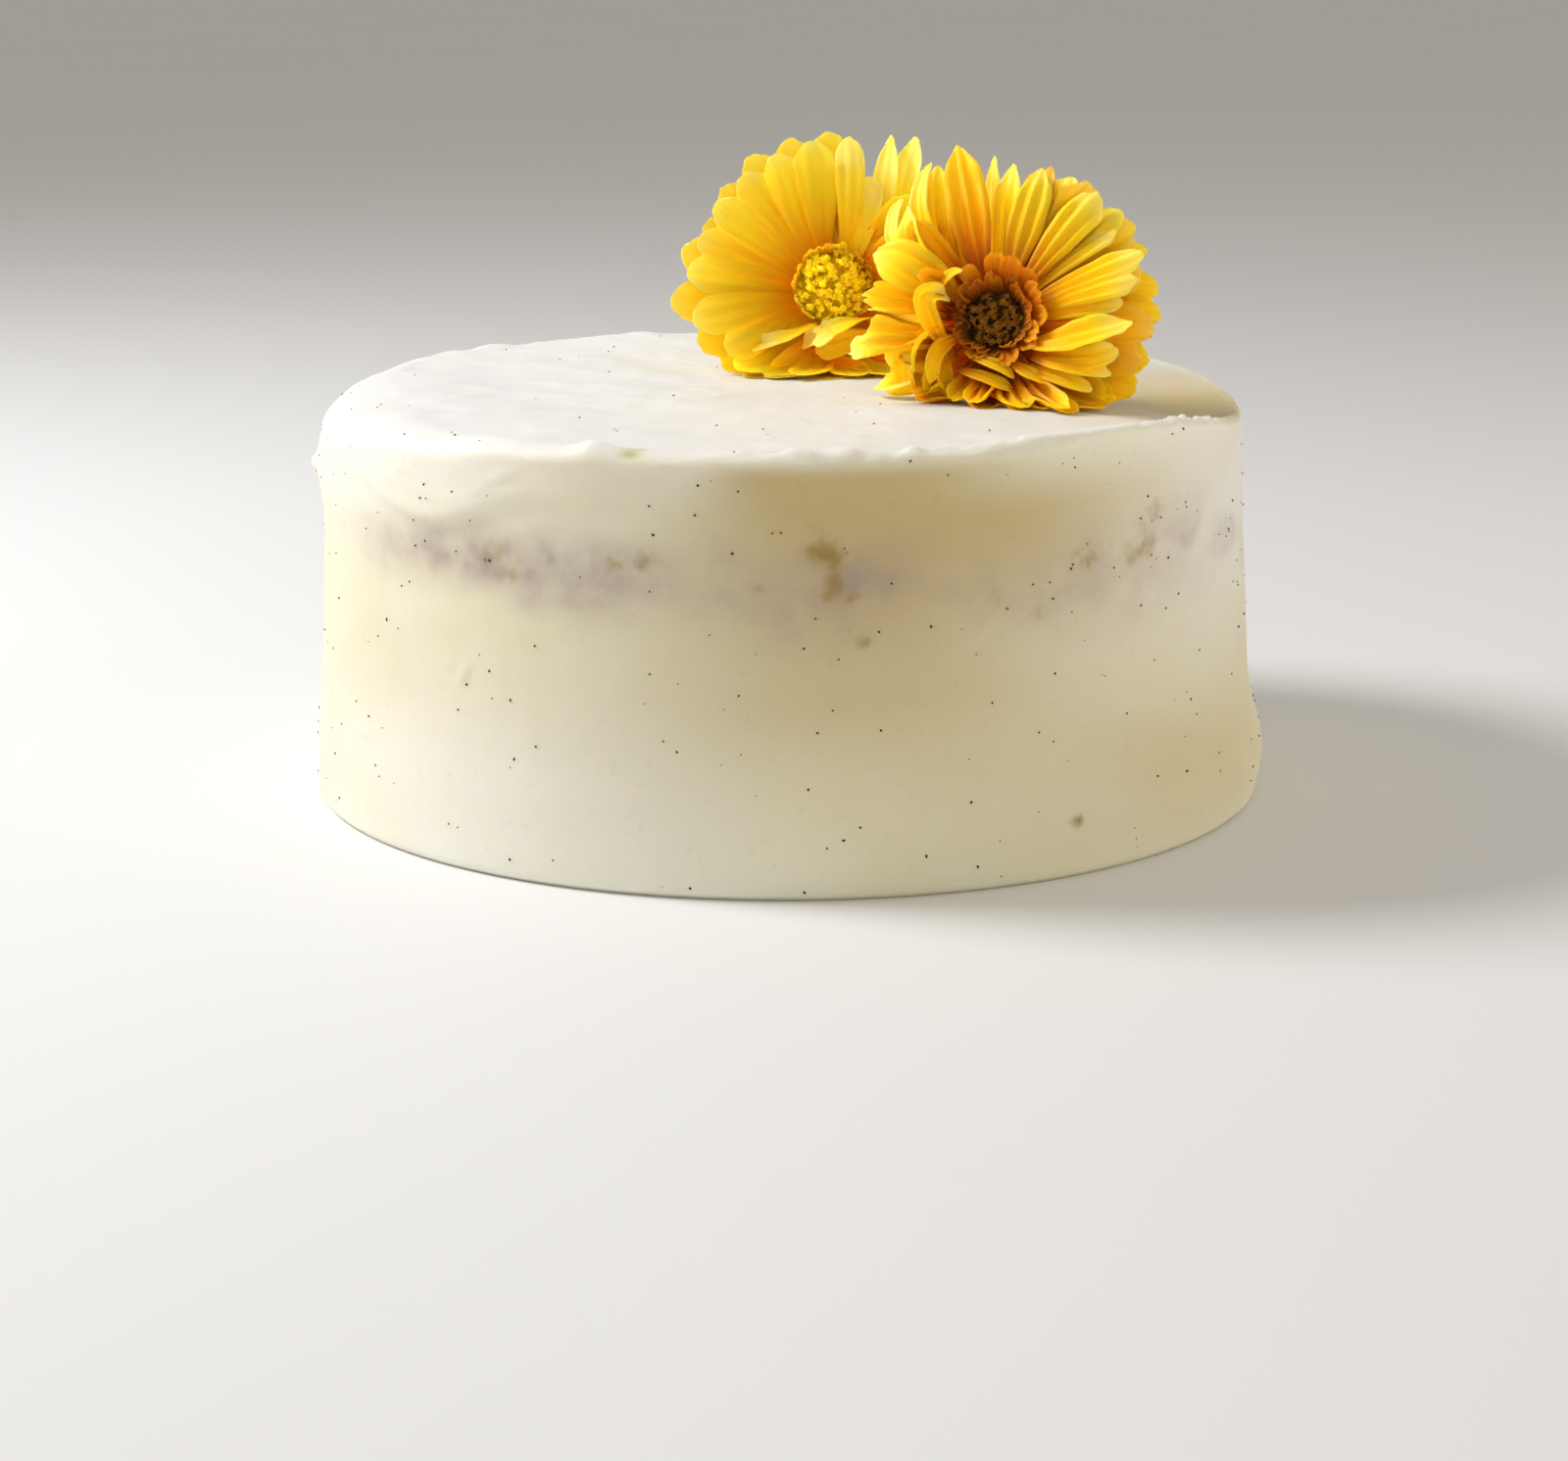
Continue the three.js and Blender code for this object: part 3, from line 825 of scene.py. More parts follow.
FRONT_PLACED = (
    ("lobed", (-8, 2, 4), (-17, 9, 11), (-28.5, 13, 10), (-0.2, 0, 1), (-0.3, 0.2, 1), 11.0, 0.05, 0.0),
    ("frilled", (-9, 1, 4), (-19, 2, 10), (-30.5, 1, 13), (0.3, 0.3, 0.9), (0.6, 0.2, 0.8), 9.5, 0.22, -0.25),
    ("frilled", (-9, -6, 5), (-20, -7, 14), (-30.5, -8.6, 14), (0, 0.2, 1), (-0.2, 0.4, 1), 11.0, 0.1, -0.25),
    ("blunt", (-9, -2, 8), (-15.5, -7, 13), (-16.5, -14, 11), (-0.7, 0, 0.7),
     (-0.8, 0, 0.6), 5.5, 0.45, -0.1),
    ("blunt", (-7, -5, 8), (-11.8, -10, 12), (-12.5, -16, 9), (0.4, 0, 0.9), (0.6, 0, 0.7), 5.0, 0.45, -0.1),
    ("blunt", (-10, -4, 8), (-19, -8, 13), (-21.5, -14, 9), (-0.2, 0.4, 0.9),
     (-0.6, 0.3, 0.7), 5.5, 0.35, 0.0),
    ("frilled", (-16, -8, 12), (-25, -9.5, 15), (-32, -10.5, 13), (0, 0.3, 1), (0, 0.6, 1), 6.5, 0.15, 0.5),
    ("blunt", (-5, 4, 1), (-10, 13, 2), (-14, 23, 2), AHEAD, AHEAD, 10.0, 0.1, -0.5),
    ("lobed", (-14, -13, 1), (-20, -15, 3), (-25.5, -16, 3), (0, -0.4, 0.9), (0, -0.5, 0.9), 6.5, 0.1, 0.6),
    ("lobed", (-6, -16, 2), (-10, -18, 5), (-14, -19, 6), (0, -0.4, 0.9), (0, -0.5, 0.9), 7.0, 0.1, 0.3),
    ("blunt", (-8.8, -9, 8), (-14.8, 1, 15), (-10, 3.4, 9), (0.5, -0.3, 0.8), (0.3, 0.6, 0.7), 6.0, 0.3, 0.1),
    ("pointed", (-8, 4, 4), (-17, 12, 9), (-21.6, 25, 8), (-0.5, 0, 1), (-0.7, 0, 0.7), 8.5, 0.2, 0.1),
    ("blunt", (-10, 6, 3), (-23.5, 15, 7), (-24, 28, 4), (-0.4, 0, 1), (-0.4, 0, 1), 3.4, 0.3, 0.7),
    ("pointed", (-9, 10, 3), (-19, 24, 4), (-17.9, 37, 3), (-0.4, 0, 1), (-0.4, 0, 1), 5.0, 0.3, 0.6),
    ("blunt", (-7, 7, 3), (-14, 20, 3), (-16.8, 36.6, 2), (-0.1, 0, 1), (-0.2, 0, 1), 6.8, 0.15, -0.15),
    ("pointed", (-3.8, 9, 3), (-7.7, 24.3, 5), (-12.4, 41.5, 2), AHEAD, (0.3, 0, 1), 9.6, 0.1, -0.25),
    ("blunt", (-10, -6, 6), (-14, -11, 8), (-13, -17.5, 3), (-0.6, 0, 0.8), (-0.8, 0, 0.4), 7.0, 0.5, 0.0),
    ("blunt", (-8, -8, 6), (-11, -12, 8), (-9.5, -18, 4), (0.5, 0, 0.8), (0.7, 0, 0.5), 6.5, 0.5, 0.0),
    ("blunt", (-12, -5, 7), (-18, -9, 9), (-18.5, -17, 2), (-0.3, 0.2, 1), (-0.3, 0.3, 1), 7.0, 0.3, 0.0),
    ("blunt", (-10, -9, 3), (-19, -14, 4), (-27.5, -16, 1), (0, 0.5, 1), (0, 0.7, 0.8), 5.5, 0.2, 1.4),
    ("pointed", (-13, 5, 8), (-10.5, 8, 11), (-7, 9.5, 12), (-0.5, 0.2, 1), (-0.5, 0.3, 1), 2.8, 0.4, -0.1),
    ("pointed", (-2.5, 10, 0), (-3.4, 26, 0), (-4.1, 40, -1), (-0.3, 0, 1), (-0.5, 0, 1), 4.4, 0.25, 0.7),
    ("pointed", (-0.1, 11, 0), (0.1, 26, 1), (0.9, 38, 0), (-0.1, 0, 1), (-0.3, 0, 1), 6.4, 0.2, 0.3),
    ("pointed", (2.4, 10, 3), (5.4, 24, 5), (8.1, 36, 3), (-0.2, 0, 1), (-0.2, 0, 1), 9.2, -0.08, 0.0),
    ("blunt", (3.5, 10, 2), (8.2, 26, 2), (9.8, 34, 1), (0.1, 0, 1), (0.1, 0, 1), 4.4, 0.1, -0.1),
    ("blunt", (5.3, 11, 1), (11.9, 26.8, 2), (13.9, 35, 0), AHEAD, AHEAD, 7.4, 0.1, 0.1),
    ("blunt", (6.2, 8.4, 4), (14.3, 20, 6.5), (21.6, 30, 4), (-0.1, 0.1, 1), AHEAD, 9.2, -0.12, 0.1),
    ("blunt", (7.5, 6.8, 2), (18.8, 18.7, 3), (26.7, 27, 1), AHEAD, AHEAD, 7.0, 0.12, 0.0),
    ("blunt", (7.5, 6.8, 3), (17.5, 15.2, 5), (25.9, 22, 3), (-0.4, 0.4, 0.9),
     (-0.4, 0.4, 0.9), 5.6, -0.1, 0.3),
    ("blunt", (8.1, 5.9, 0), (21.1, 13.2, 0), (32.5, 19.3, -2), AHEAD, (0, 0.2, 1), 7.4, 0.1, -0.2),
    ("blunt", (9.1, 4.5, 6), (22.4, 10.5, 9), (33.3, 15.5, 8), (0, 0.2, 1), (0, 0.3, 1), 6.4, -0.14, 0.25),
    ("blunt", (9.3, 2.3, 6), (21.8, 6, 10), (32.3, 9.5, 9), (0, 0.2, 1), (0, 0.3, 1), 6.4, -0.18, 0.2),
    ("blunt", (9.2, 0.6, 5), (19.3, 2.7, 8), (29.3, 4.4, 7), AHEAD, (0, 0.2, 1), 6.0, 0.14, 0.1),
    ("blunt", (9, 3.7, -1), (22.2, 8.4, -2), (35.8, 10.4, -4), AHEAD, AHEAD, 8.4, 0.1, -0.25),
    ("blunt", (9.2, 1.5, -1), (22.6, 3.9, -2), (36.8, 4.1, -4), AHEAD, AHEAD, 8.4, 0.1, -0.25),
    ("pointed", (9.3, -5.6, 7), (20.9, -5.6, 13), (32.3, -1, 11), (0, 0.5, 0.9),
     (-0.2, 0.6, 0.8), 10.0, 0.16, 0.35),
    ("blunt", (9.6, -7.5, 6), (20.5, -9.6, 9), (29.3, -7, 9), (0, 0.3, 1), (0, 0.3, 1), 6.6, 0.14, 0.1),
    ("blunt", (9.6, -9, 7), (18.8, -11.6, 10), (28, -12.4, 8), (0, 0.5, 0.9), (0, 0.6, 0.8), 5.2, 0.18, 0.35),
    ("blunt", (8.3, -10.7, 6), (16.3, -14, 9), (23.9, -16, 7), (0, 0.5, 0.9), (0, 0.6, 0.8), 5.2, 0.18, 0.35),
    ("blunt", (8.6, -3.2, 0), (22.5, -5.8, -1), (35.1, -6.2, -3), AHEAD, AHEAD, 9.4, 0.1, -0.2),
    ("blunt", (8.8, -5.4, 0), (21.7, -9.9, -1), (32.7, -13.8, -2), AHEAD, AHEAD, 9.4, 0.1, -0.2),
    ("blunt", (7.9, -7.7, 0), (18.8, -13.4, 0), (28, -17.9, 0), AHEAD, AHEAD, 8.4, 0.12, -0.2),
    ("blunt", (7, -9, 1), (16, -15.9, 2), (25.4, -20.6, 2), (0, 0.2, 1), (0, 0.2, 1), 8.0, 0.12, -0.2),
    ("blunt", (-4.2, -9.6, 8), (1.4, -11.8, 11), (6.2, -14, 9), SKYWARDS, UP_AND_RIGHT, 4.6, 0.2, 0.0),
    ("blunt", (-7.7, -12, 7), (-0.9, -14.7, 10), (5.8, -16.6, 8), SKYWARDS, UP_AND_RIGHT, 5.0, 0.2, 0.1),
    ("blunt", (5.3, -10.2, 8), (9.5, -13.4, 10), (13.3, -14.7, 8), SKYWARDS, UP_AND_RIGHT, 5.0, 0.2, 0.1),
    ("blunt", (-1.8, -14.5, 6), (3.2, -18.1, 8), (6.6, -20.2, 6), SKYWARDS, UP_AND_RIGHT, 6.0, 0.2, -0.4),
    ("blunt", (6.3, -13.6, 6), (12.4, -17.2, 8), (17.9, -18.8, 6), SKYWARDS, UP_AND_RIGHT, 6.0, 0.2, -0.35),
    ("blunt", (2, -17, 6), (8, -21.5, 12), (13, -24, 15), SKYWARDS, (0.1, 0.6, 0.8), 6.0, 0.2, -0.35),
    ("blunt", (10, -16, 6), (17, -20.5, 12), (22, -23.5, 14), SKYWARDS, (0.1, 0.6, 0.8), 6.0, 0.2, -0.35),
)

# A head faces the front of the cake, turned and tilted up. Even petals stand all round a whorl, but
# placed ones stand where it's opened: for each whorl, from one angle to another. Crowded petals are
# pressed up by the other head, curbed ones are shorter by a share, and both are spread about an angle
# by a width, as are the low ones, which get painted shade: a deeper, darker colour.
REAR_HEAD = {
    "name": "rear_flower",
    "seed": 11,
    "turn": 8.0,
    "tilt": 17.0,
    "disc_slot": "disc_green",
    "disc_radius": 8.2,
    "disc": {"count": 150, "radius": 7.9, "dome": 3.0, "lean": 0.6, "disorder": 0.75, "lobes": 4,
             "floret": 2.8, "mouth": 1.0, "sunk": 1.0, "filled": 0.4},
    "placed": REAR_PLACED,
    "placed_pleat": 0.03,
    "opened": ((48.0, 79.0), (48.0, 79.0)),
    "low_shade": (292.0, 27.0),
    "crowded": {"angle": 16.0, "width": 40.0, "shortening": 0.4},
    "curbed": ((215.0, 20.0, 0.17), (183.0, 8.0, -0.08), (145.0, 28.0, 0.13), (272.0, 38.0, 0.25),
               (94.0, 24.0, 0.06)),
    "whorls": (
        {"name": "outer_petals", "count": 22, "turn": 5.0, "length": 29.0, "width": 10.4, "rise": (15, 5),
         "rise_crowded": 54, "roll": 0.03, "crumple": 0.3, "pleat": 0.02, "ragged": 0.015, "shade": 0.2,
         "low_shade_share": 1.0},
        {"name": "middle_petals", "count": 22, "turn": 13.2, "length": 28.6, "width": 9.8, "rise": (19, 8),
         "rise_crowded": 65, "roll": 0.04, "crumple": 0.4, "pleat": 0.025, "ragged": 0.015, "shade": 0.0},
        {"name": "inner_petals", "count": 26, "turn": 0.0, "length": 5.6, "width": 2.6, "rise": (78, 62),
         "rise_crowded": 76, "roll": 0.3, "crumple": 1.2, "pleat": 0.03, "ragged": 0.10, "shade": 0.3},
    ),
}

FRONT_HEAD = {
    "name": "front_flower",
    "seed": 12,
    "turn": -14.0,
    "tilt": 20.0,
    "disc_slot": "disc_dark",
    "disc_radius": 7.0,
    "disc": {"count": 88, "radius": 6.6, "dome": -2.2, "lean": -0.3, "disorder": 0.9, "lobes": 4,
             "floret": 2.8, "mouth": 0.85, "sunk": -1.2, "filled": 0.0},
    "placed": FRONT_PLACED,
    "placed_pleat": 0.08,
    "opened": ((84.0, 121.0), (-52.0, 243.0)),
    "low_shade": (277.0, 36.0),
    "crowded": {"angle": 176.0, "width": 44.0, "shortening": 0.6},
    "curbed": ((-30.0, 26.0, 0.20), (258.0, 26.0, 0.35), (15.0, 45.0, 0.10), (226.0, 16.0, 0.20)),
    "whorls": (
        {"name": "outer_petals", "count": 19, "turn": 2.0, "length": 30.5, "width": 9.6, "rise": (8, -5),
         "rise_crowded": 64, "roll": 0.10, "crumple": 0.7, "pleat": 0.07, "ragged": 0.04, "shade": 0.9,
         "low_shade_share": 1.0},
        {"name": "middle_petals", "count": 21, "turn": 12.0, "length": 28.0, "width": 7.8, "rise": (28, 8),
         "rise_crowded": 72, "roll": 0.17, "crumple": 1.1, "pleat": 0.11, "ragged": 0.04, "shade": 0.0,
         "low_shade_share": 0.7},
        {"name": "inner_petals", "count": 16, "turn": 4.0, "length": 10.0, "width": 5.4, "rise": (66, 34),
         "rise_crowded": 76, "roll": 0.12, "crumple": 2.2, "pleat": 0.05, "ragged": 0.10, "shade": 0.5},
    ),
    "collar": {"count": 22, "length": 8.4, "width": 3.4, "pleat": 0.05, "ragged": 0.14},
}

# A petal's outline as half widths from its root to its tip, and how torn and how wavy its edge is,
# as shares of its width.
OUTLINES = {
    "blunt": ((0.0, 0.28), (0.2, 0.54), (0.5, 0.88), (0.74, 1.0), (0.88, 0.97), (0.96, 0.84), (1.0, 0.68)),
    "pointed": ((0.0, 0.36), (0.2, 0.66), (0.45, 0.97), (0.68, 1.0), (0.86, 0.78), (0.95, 0.52), (1.0, 0.30)),
    "lobed": ((0.0, 0.30), (0.2, 0.56), (0.5, 0.95), (0.74, 1.0), (0.88, 0.84), (0.96, 0.60), (1.0, 0.40)),
    "frilled": ((0.0, 0.25), (0.2, 0.36), (0.5, 0.64), (0.74, 0.92), (0.88, 1.0), (0.96, 0.97), (1.0, 0.86)),
    "bract": ((0.0, 0.7), (0.3, 1.0), (0.6, 0.8), (0.85, 0.4), (1.0, 0.06)),
}
FRILLED_EDGE = {"ragged": 0.022, "ruffle": 0.36}
PLAIN_EDGE = {"ragged": 0.002, "ruffle": 0.2}

# How much a petal's rows crowd towards its tip, how far the tip's corners are rounded back as a
# share of its length, how many pleats it has across, and how far it may sink where it's pressed.
ROW_CROWDING = 1.35
TIP_ROUNDING = 0.085
PLEATS = 2.6
SINKING = 0.4


def petal_growth(name, outline):
    """Flat petals, all from one root: x runs along each, y across it and z out of its face."""
    growth = Growth(name)
    count = growth.size("Count", "Int")
    seed = growth.size("Seed", "Int")
    length, width, unevenness, pleat, ragged = growth.sizes(
        "Length", "Width", "Unevenness", "Pleat depth", "Raggedness"
    )
    inputs = {"Size X": 1.0, "Size Y": 2.0, "Vertices X": PETAL_ROWS, "Vertices Y": PETAL_COLUMNS}
    blade = growth.wire("GeometryNodeMeshGrid", inputs)
    place = growth.add("ShaderNodeSeparateXYZ", {0: growth.wire("GeometryNodeInputPosition")})
    even, across = (Wire(growth, place.outputs[axis]) for axis in "XY")
    # Rows are closer together towards the tip, which is round.
    blade = growth.store(blade, "along", 1.0 - (1.0 - (even + 0.5)) ** ROW_CROWDING)
    blade = growth.store(blade, "across", across)
    fan = growth.set_out(growth.wire("GeometryNodePoints", {"Count": count}), blade)
    fan = growth.store(fan, "petal", growth.wire("GeometryNodeInputIndex"), "INSTANCE", "INT")
    fan = growth.wire("GeometryNodeRealizeInstances", {"Geometry": fan})
    petal = growth.attribute("petal", "INT")
    along = growth.attribute("along")
    across = growth.attribute("across")
    least = 1.0 - unevenness
    most = unevenness + 1.0
    own_length = length * growth.random(least, most, seed, petal)
    own_width = width * growth.random(least, most, seed + 1, petal)
    shape = growth.add("ShaderNodeFloatCurve", {"Value": along})
    curve = shape.mapping.curves[0]
    for place_along, share in outline[1:-1]:
        curve.points.new(place_along, share)
    curve.points[0].location = outline[0]
    curve.points[-1].location = outline[-1]
    shape.mapping.update()
    half = own_width * 0.5 * Wire(growth, shape.outputs[0])
    apart = (petal + seed * 3.1) * 7.3
    inputs = {"Vector": growth.vector(across * 2.4, apart, 0.0), "Scale": 1.0, "Detail": 2.0}
    bitten = (growth.wire("ShaderNodeTexNoise", inputs) - 0.4) * (ragged * 4.0)
    rounding = growth.math("ABSOLUTE", across) ** 2.4 * TIP_ROUNDING
    held_back = along**6.0 * (rounding + bitten)
    body = growth.math("SINE", along * (math.pi * 0.93))
    ridges = growth.math("COSINE", across * (PLEATS * math.pi))
    place = growth.vector(own_length * (along - held_back), half * across, ridges * pleat * body)
    growth.finish(growth.wire("GeometryNodeSetPosition", {"Geometry": fan, "Position": place}))
    return growth


def head_frame(head):
    """The head's middle, and its right, up and front directions."""
    across, away = swing(head["turn"])
    level, rise = swing(head["tilt"])
    front = np.array([away * level, -across * level, rise])
    right = np.array([across, away, 0.0])
    low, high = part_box(head["name"] + "_disc")
    ahead = HUB_LAYER * len(head["whorls"]) + DISC_MIDDLE
    centre = (np.array(low) + np.array(high)) / (2 * MM) - front * ahead
    return centre, right, np.cross(front, right), front


def in_head(place, points):
    """Points given as right, up and front of a head's middle, in the cake's frame."""
    centre, *directions = place
    return points @ np.array(directions) + centre


def hub_radius(head, order=0):
    """How far from a head's middle a whorl starts. The back whorl starts at the green cup's rim."""
    return head["disc_radius"] + HUB_STEP * (len(head["whorls"]) - order)


def turned_about(vector, axis, degrees):
    """A vector turned about a unit axis."""
    cosine, sine = swing(degrees)
    return vector * cosine + np.cross(axis, vector) * sine + axis * np.dot(axis, vector) * (1 - cosine)


def petal_spine(place, posture):
    """A petal's middle line with its side and face directions, bent down onto the cake's top.

    place is the head's frame and posture says how this petal starts, rises, bends and twists.
    """
    centre, right, up, front = place
    cosine, sine = swing(posture["angle"])
    outward = right * cosine + up * sine
    beside = up * cosine - right * sine
    point = centre + outward * posture["radius"] + front * posture["ahead"]
    step = posture["length"] * SPINE_REACH / SPINE_STEPS
    spine = []
    for index in range(SPINE_STEPS + 1):
        share = index * step / posture["length"]
        rise = blend(*posture["rise"], share)
        rise += posture["wave"] * math.sin(math.pi * (1.7 * share + posture["phase"]))
        cosine, sine = swing(rise)
        heading = outward * cosine + front * sine
        facing = front * cosine - outward * sine
        heading = turned_about(heading, facing, posture["bend"] * share)
        side = turned_about(beside, facing, posture["bend"] * share)
        easing = float(np.clip((point[2] - posture["floor"]) / PRESS_HEIGHT, 0.0, 1.0))
        if heading[2] < 0:
            heading = unit(heading * [1, 1, easing])
        side = side * [1, 1, easing]
        side = unit(side - heading * np.dot(side, heading))
        side = turned_about(side, heading, posture["twist"] * share)
        spine.append(np.concatenate([[index * step], point, side, np.cross(heading, side)]))
        point = point + heading * step
    return np.array(spine)


def placed_spine(place, posture):
    """A petal's middle line through its root, middle and tip, with its side and face directions."""
    root, middle, tip = (np.array(point, dtype=float) for point in posture["through"])
    shares = np.linspace(0.0, SPINE_REACH, SPINE_STEPS + 1)[:, None]
    control = 2 * middle - (root + tip) / 2
    points = (1 - shares) ** 2 * root + 2 * shares * (1 - shares) * control + shares**2 * tip
    heading = unit(np.gradient(points, axis=0))
    facing = blend(*(np.array(way, dtype=float) for way in posture["facing"]), shares)
    side = unit(np.cross(facing, heading))
    steps = np.linalg.norm(np.diff(points, axis=0), axis=1)
    away = np.concatenate([[0.0], np.cumsum(steps)])
    away *= posture["length"] / np.interp(1.0, shares[:, 0], away)
    turned = [in_head(place, way) - place[0] for way in (side, np.cross(heading, side))]
    return np.column_stack([away, in_head(place, points), *turned])


def between_angles(degrees, start, end):
    """Whether an angle lies between two others, counting upwards from the first."""
    return (degrees - start) % 360 < (end - start) % 360


def petal_posture(head, order, index, degrees):
    """How petal index of whorl order stands, with its crowding against the other head."""
    whorl = head["whorls"][order]
    crowded = head["crowded"]
    crowding = float(bell_round(degrees, crowded["angle"], crowded["width"]))
    curbing = sum(share * float(bell_round(degrees, angle, width)) for angle, width, share in head["curbed"])
    low_shade = whorl.get("low_shade_share", 0.0) * float(bell_round(degrees, *head["low_shade"]))
    crumple = whorl["crumple"] * (0.35 + 1.6 * crowding)
    root = blend(whorl["rise"][0] + 4 * spread(index, 3), whorl["rise_crowded"], crowding)
    tip = blend(whorl["rise"][1] + 5 * spread(index, 4), whorl["rise_crowded"] - 12, crowding)
    kept = 1 - crowded["shortening"] * crowding - curbing
    return {
        "angle": degrees,
        "radius": hub_radius(head, order) - PETAL_ROOT_DEPTH,
        "ahead": HUB_LAYER * order + PETAL_AHEAD + EVERY_OTHER_AHEAD * (index % 2),
        "length": whorl["length"] * kept + PETAL_ROOT_DEPTH,
        "rise": (root + 7 * crumple * spread(index, 5), tip + 9 * crumple * spread(index, 6)),
        "wave": 7 * crumple * spread(index, 7),
        "phase": spread(index, 8),
        "bend": 9 * crumple * spread(index, 9),
        "twist": 16 * crumple * spread(index, 10),
        "roll": whorl["roll"] * (1 + 0.9 * spread(index, 11)) * (1 + 1.5 * crowding),
        "breadth": 1 - 0.35 * crowding,
        # Crowded petals and low ones get painted shade: a more orange, darker colour.
        "paleness": -crowding - 0.6 * low_shade,
        "shade": whorl["shade"] + 0.3 * low_shade,
        "ruffle": 0.2 + 0.5 * crumple,
        "floor": TOP_LEVEL - 0.5 + 0.9 * order + 0.6 * (1 + spread(index, 12)),
    }


def lay_petals(mesh, head, order, postures, length):
    """Bends flat petals to their postures, in place."""
    place = head_frame(head)
    flat = mesh_points(mesh)
    petal = read_attribute(mesh, "petal", np.int32)
    along = read_attribute(mesh, "along")
    laid = np.zeros_like(flat)
    tone = np.zeros(len(flat))
    paleness = np.zeros(len(flat))
    for index, posture in enumerate(postures):
        own = petal == index
        x, y, z = flat[own].T
        x = x * posture["length"] / length
        y = y * posture["breadth"]
        curl = posture["roll"] * (0.4 + 0.8 * along[own])
        edge = np.abs(y) / (np.abs(y).max() + 1e-6)
        spots = np.stack([x + 50 * index, y, 0 * x], 1)
        ruffle = posture["ruffle"] * edge**2 * grain(spots, (5.0, 5.0, 5.0), 12 + order) * along[own]
        lift = (1 - np.cos(curl * y)) / curl + ruffle + z
        spine = placed_spine(place, posture) if "through" in posture else petal_spine(place, posture)
        parts = [np.interp(x, spine[:, 0], spine[:, column]) for column in range(1, 10)]
        middle, side, face = (np.stack(parts[start : start + 3], 1) for start in (0, 3, 6))
        across = np.sin(curl * y) / curl
        points = middle + side * across[:, None] + face * lift[:, None]
        floor = posture["floor"] - SINKING
        soft_until = floor + PRESS_SOFTNESS
        depth = np.minimum(points[:, 2], soft_until) - floor - PRESS_SOFTNESS
        eased = floor + PRESS_SOFTNESS * np.exp(depth / PRESS_SOFTNESS)
        points[:, 2] = np.where(points[:, 2] < soft_until, eased, points[:, 2])
        laid[own] = points
        # Tone is random less painted shade; petals lying near the cake get painted shade as a deeper orange.
        tone[own] = 0.5 + 0.5 * spread(index, 13 + order) - posture["shade"]
        shade_near_cake = 1 - smooth(points[:, 2], TOP_LEVEL + 1, TOP_LEVEL + 13)
        paleness[own] = np.maximum(posture["paleness"] - 0.6 * shade_near_cake, -1.0)
    move_points(mesh, laid)
    give_attributes(mesh, tone=tone, paleness=paleness)
    return mesh


def thickened(mesh, thickness):
    """A mesh of thin leaves given their thickness, with crisp rims."""
    holder = new_object("leaves", mesh)
    wall = holder.modifiers.new("thickness", "SOLIDIFY")
    wall.thickness = thickness * MM
    wall.offset = 0.0
    solid = plain_mesh(holder)
    solid.shade_smooth()
    solid.set_sharp_from_angle(angle=math.radians(CRISP_ANGLE))
    return solid


def fan_mesh(head, order, growth, material, petals, postures, seed):
    """Petals of one kind, grown flat and laid to their postures."""
    sizes = {
        "Count": len(postures), "Length": petals["length"], "Width": petals["width"],
        "Unevenness": petals.get("uneven", 0.06), "Pleat depth": petals["pleat"] * petals["width"],
        "Raggedness": petals["ragged"], "Seed": seed, "Material": material,
    }
    return lay_petals(growth.grow(sizes), head, order, postures, petals["length"])


def whorl_mesh(head, order, growths, material, seed):
    """A whorl's even petals. The middle whorl holds the placed petals and the receptacle too."""
    whorl = head["whorls"][order]
    jitter = 7.0 if order == INNER_WHORL else 3.0
    postures = []
    for index in range(whorl["count"]):
        degrees = (index / whorl["count"]) * 360 + whorl["turn"] + jitter * spread(index, 1)
        if order == INNER_WHORL or not between_angles(degrees, *head["opened"][order]):
            postures.append(petal_posture(head, order, index, degrees))
    fan = fan_mesh(head, order, growths["blunt"], material, whorl, postures, seed)
    if order != MIDDLE_WHORL:
        return thickened(fan, PETAL_THICKNESS)
    fans = [fan, *placed_fans(head, growths, material, seed)]
    return joined([thickened(joined(fans), PETAL_THICKNESS), receptacle_mesh(head, material)])


def placed_fans(head, growths, material, seed):
    """The petals that are placed one by one."""
    fans = []
    for number, placed in enumerate(head["placed"]):
        outline, *through, facing, facing_at_tip, width, roll, paleness = placed
        index = FIRST_PLACED + number
        edge = FRILLED_EDGE if outline == "frilled" else PLAIN_EDGE
        length = math.dist(*through[:2]) + math.dist(*through[1:])
        posture = petal_posture(head, MIDDLE_WHORL, index, 0.0)
        # A placed petal below zero paleness also gets painted shade.
        posture.update({
            "through": through, "facing": (facing, facing_at_tip), "length": length, "roll": roll,
            "ruffle": edge["ruffle"] * width, "breadth": 1.0, "paleness": paleness,
            "shade": max(0.0, -1.6 * paleness), "floor": TOP_LEVEL - 0.7 + 0.4 * (number % 3),
        })
        petal = {"length": length, "width": width, "uneven": 0.0, "pleat": head["placed_pleat"]}
        petal["ragged"] = edge["ragged"] * width
        growth = growths[outline]
        fans.append(fan_mesh(head, MIDDLE_WHORL, growth, material, petal, [posture], seed + index))
    return fans


def turned_mesh(place, profile, columns, material, ribs=0.0):
    """A closed turned solid about a head's axis, from (radius, distance ahead) at its middle line."""
    points = []
    for radius, ahead in profile[1:-1]:
        for column in range(columns):
            turn = math.tau * column / columns
            reach = radius * (1 + ribs * math.cos(CUP_RIBS * turn))
            points.append((reach * math.cos(turn), reach * math.sin(turn), ahead))
    points.append((0, 0, profile[0][1]))
    points.append((0, 0, profile[-1][1]))
    faces = ring_faces(len(profile) - 2, columns)
    return new_mesh("turned", in_head(place, np.array(points)), faces, material)


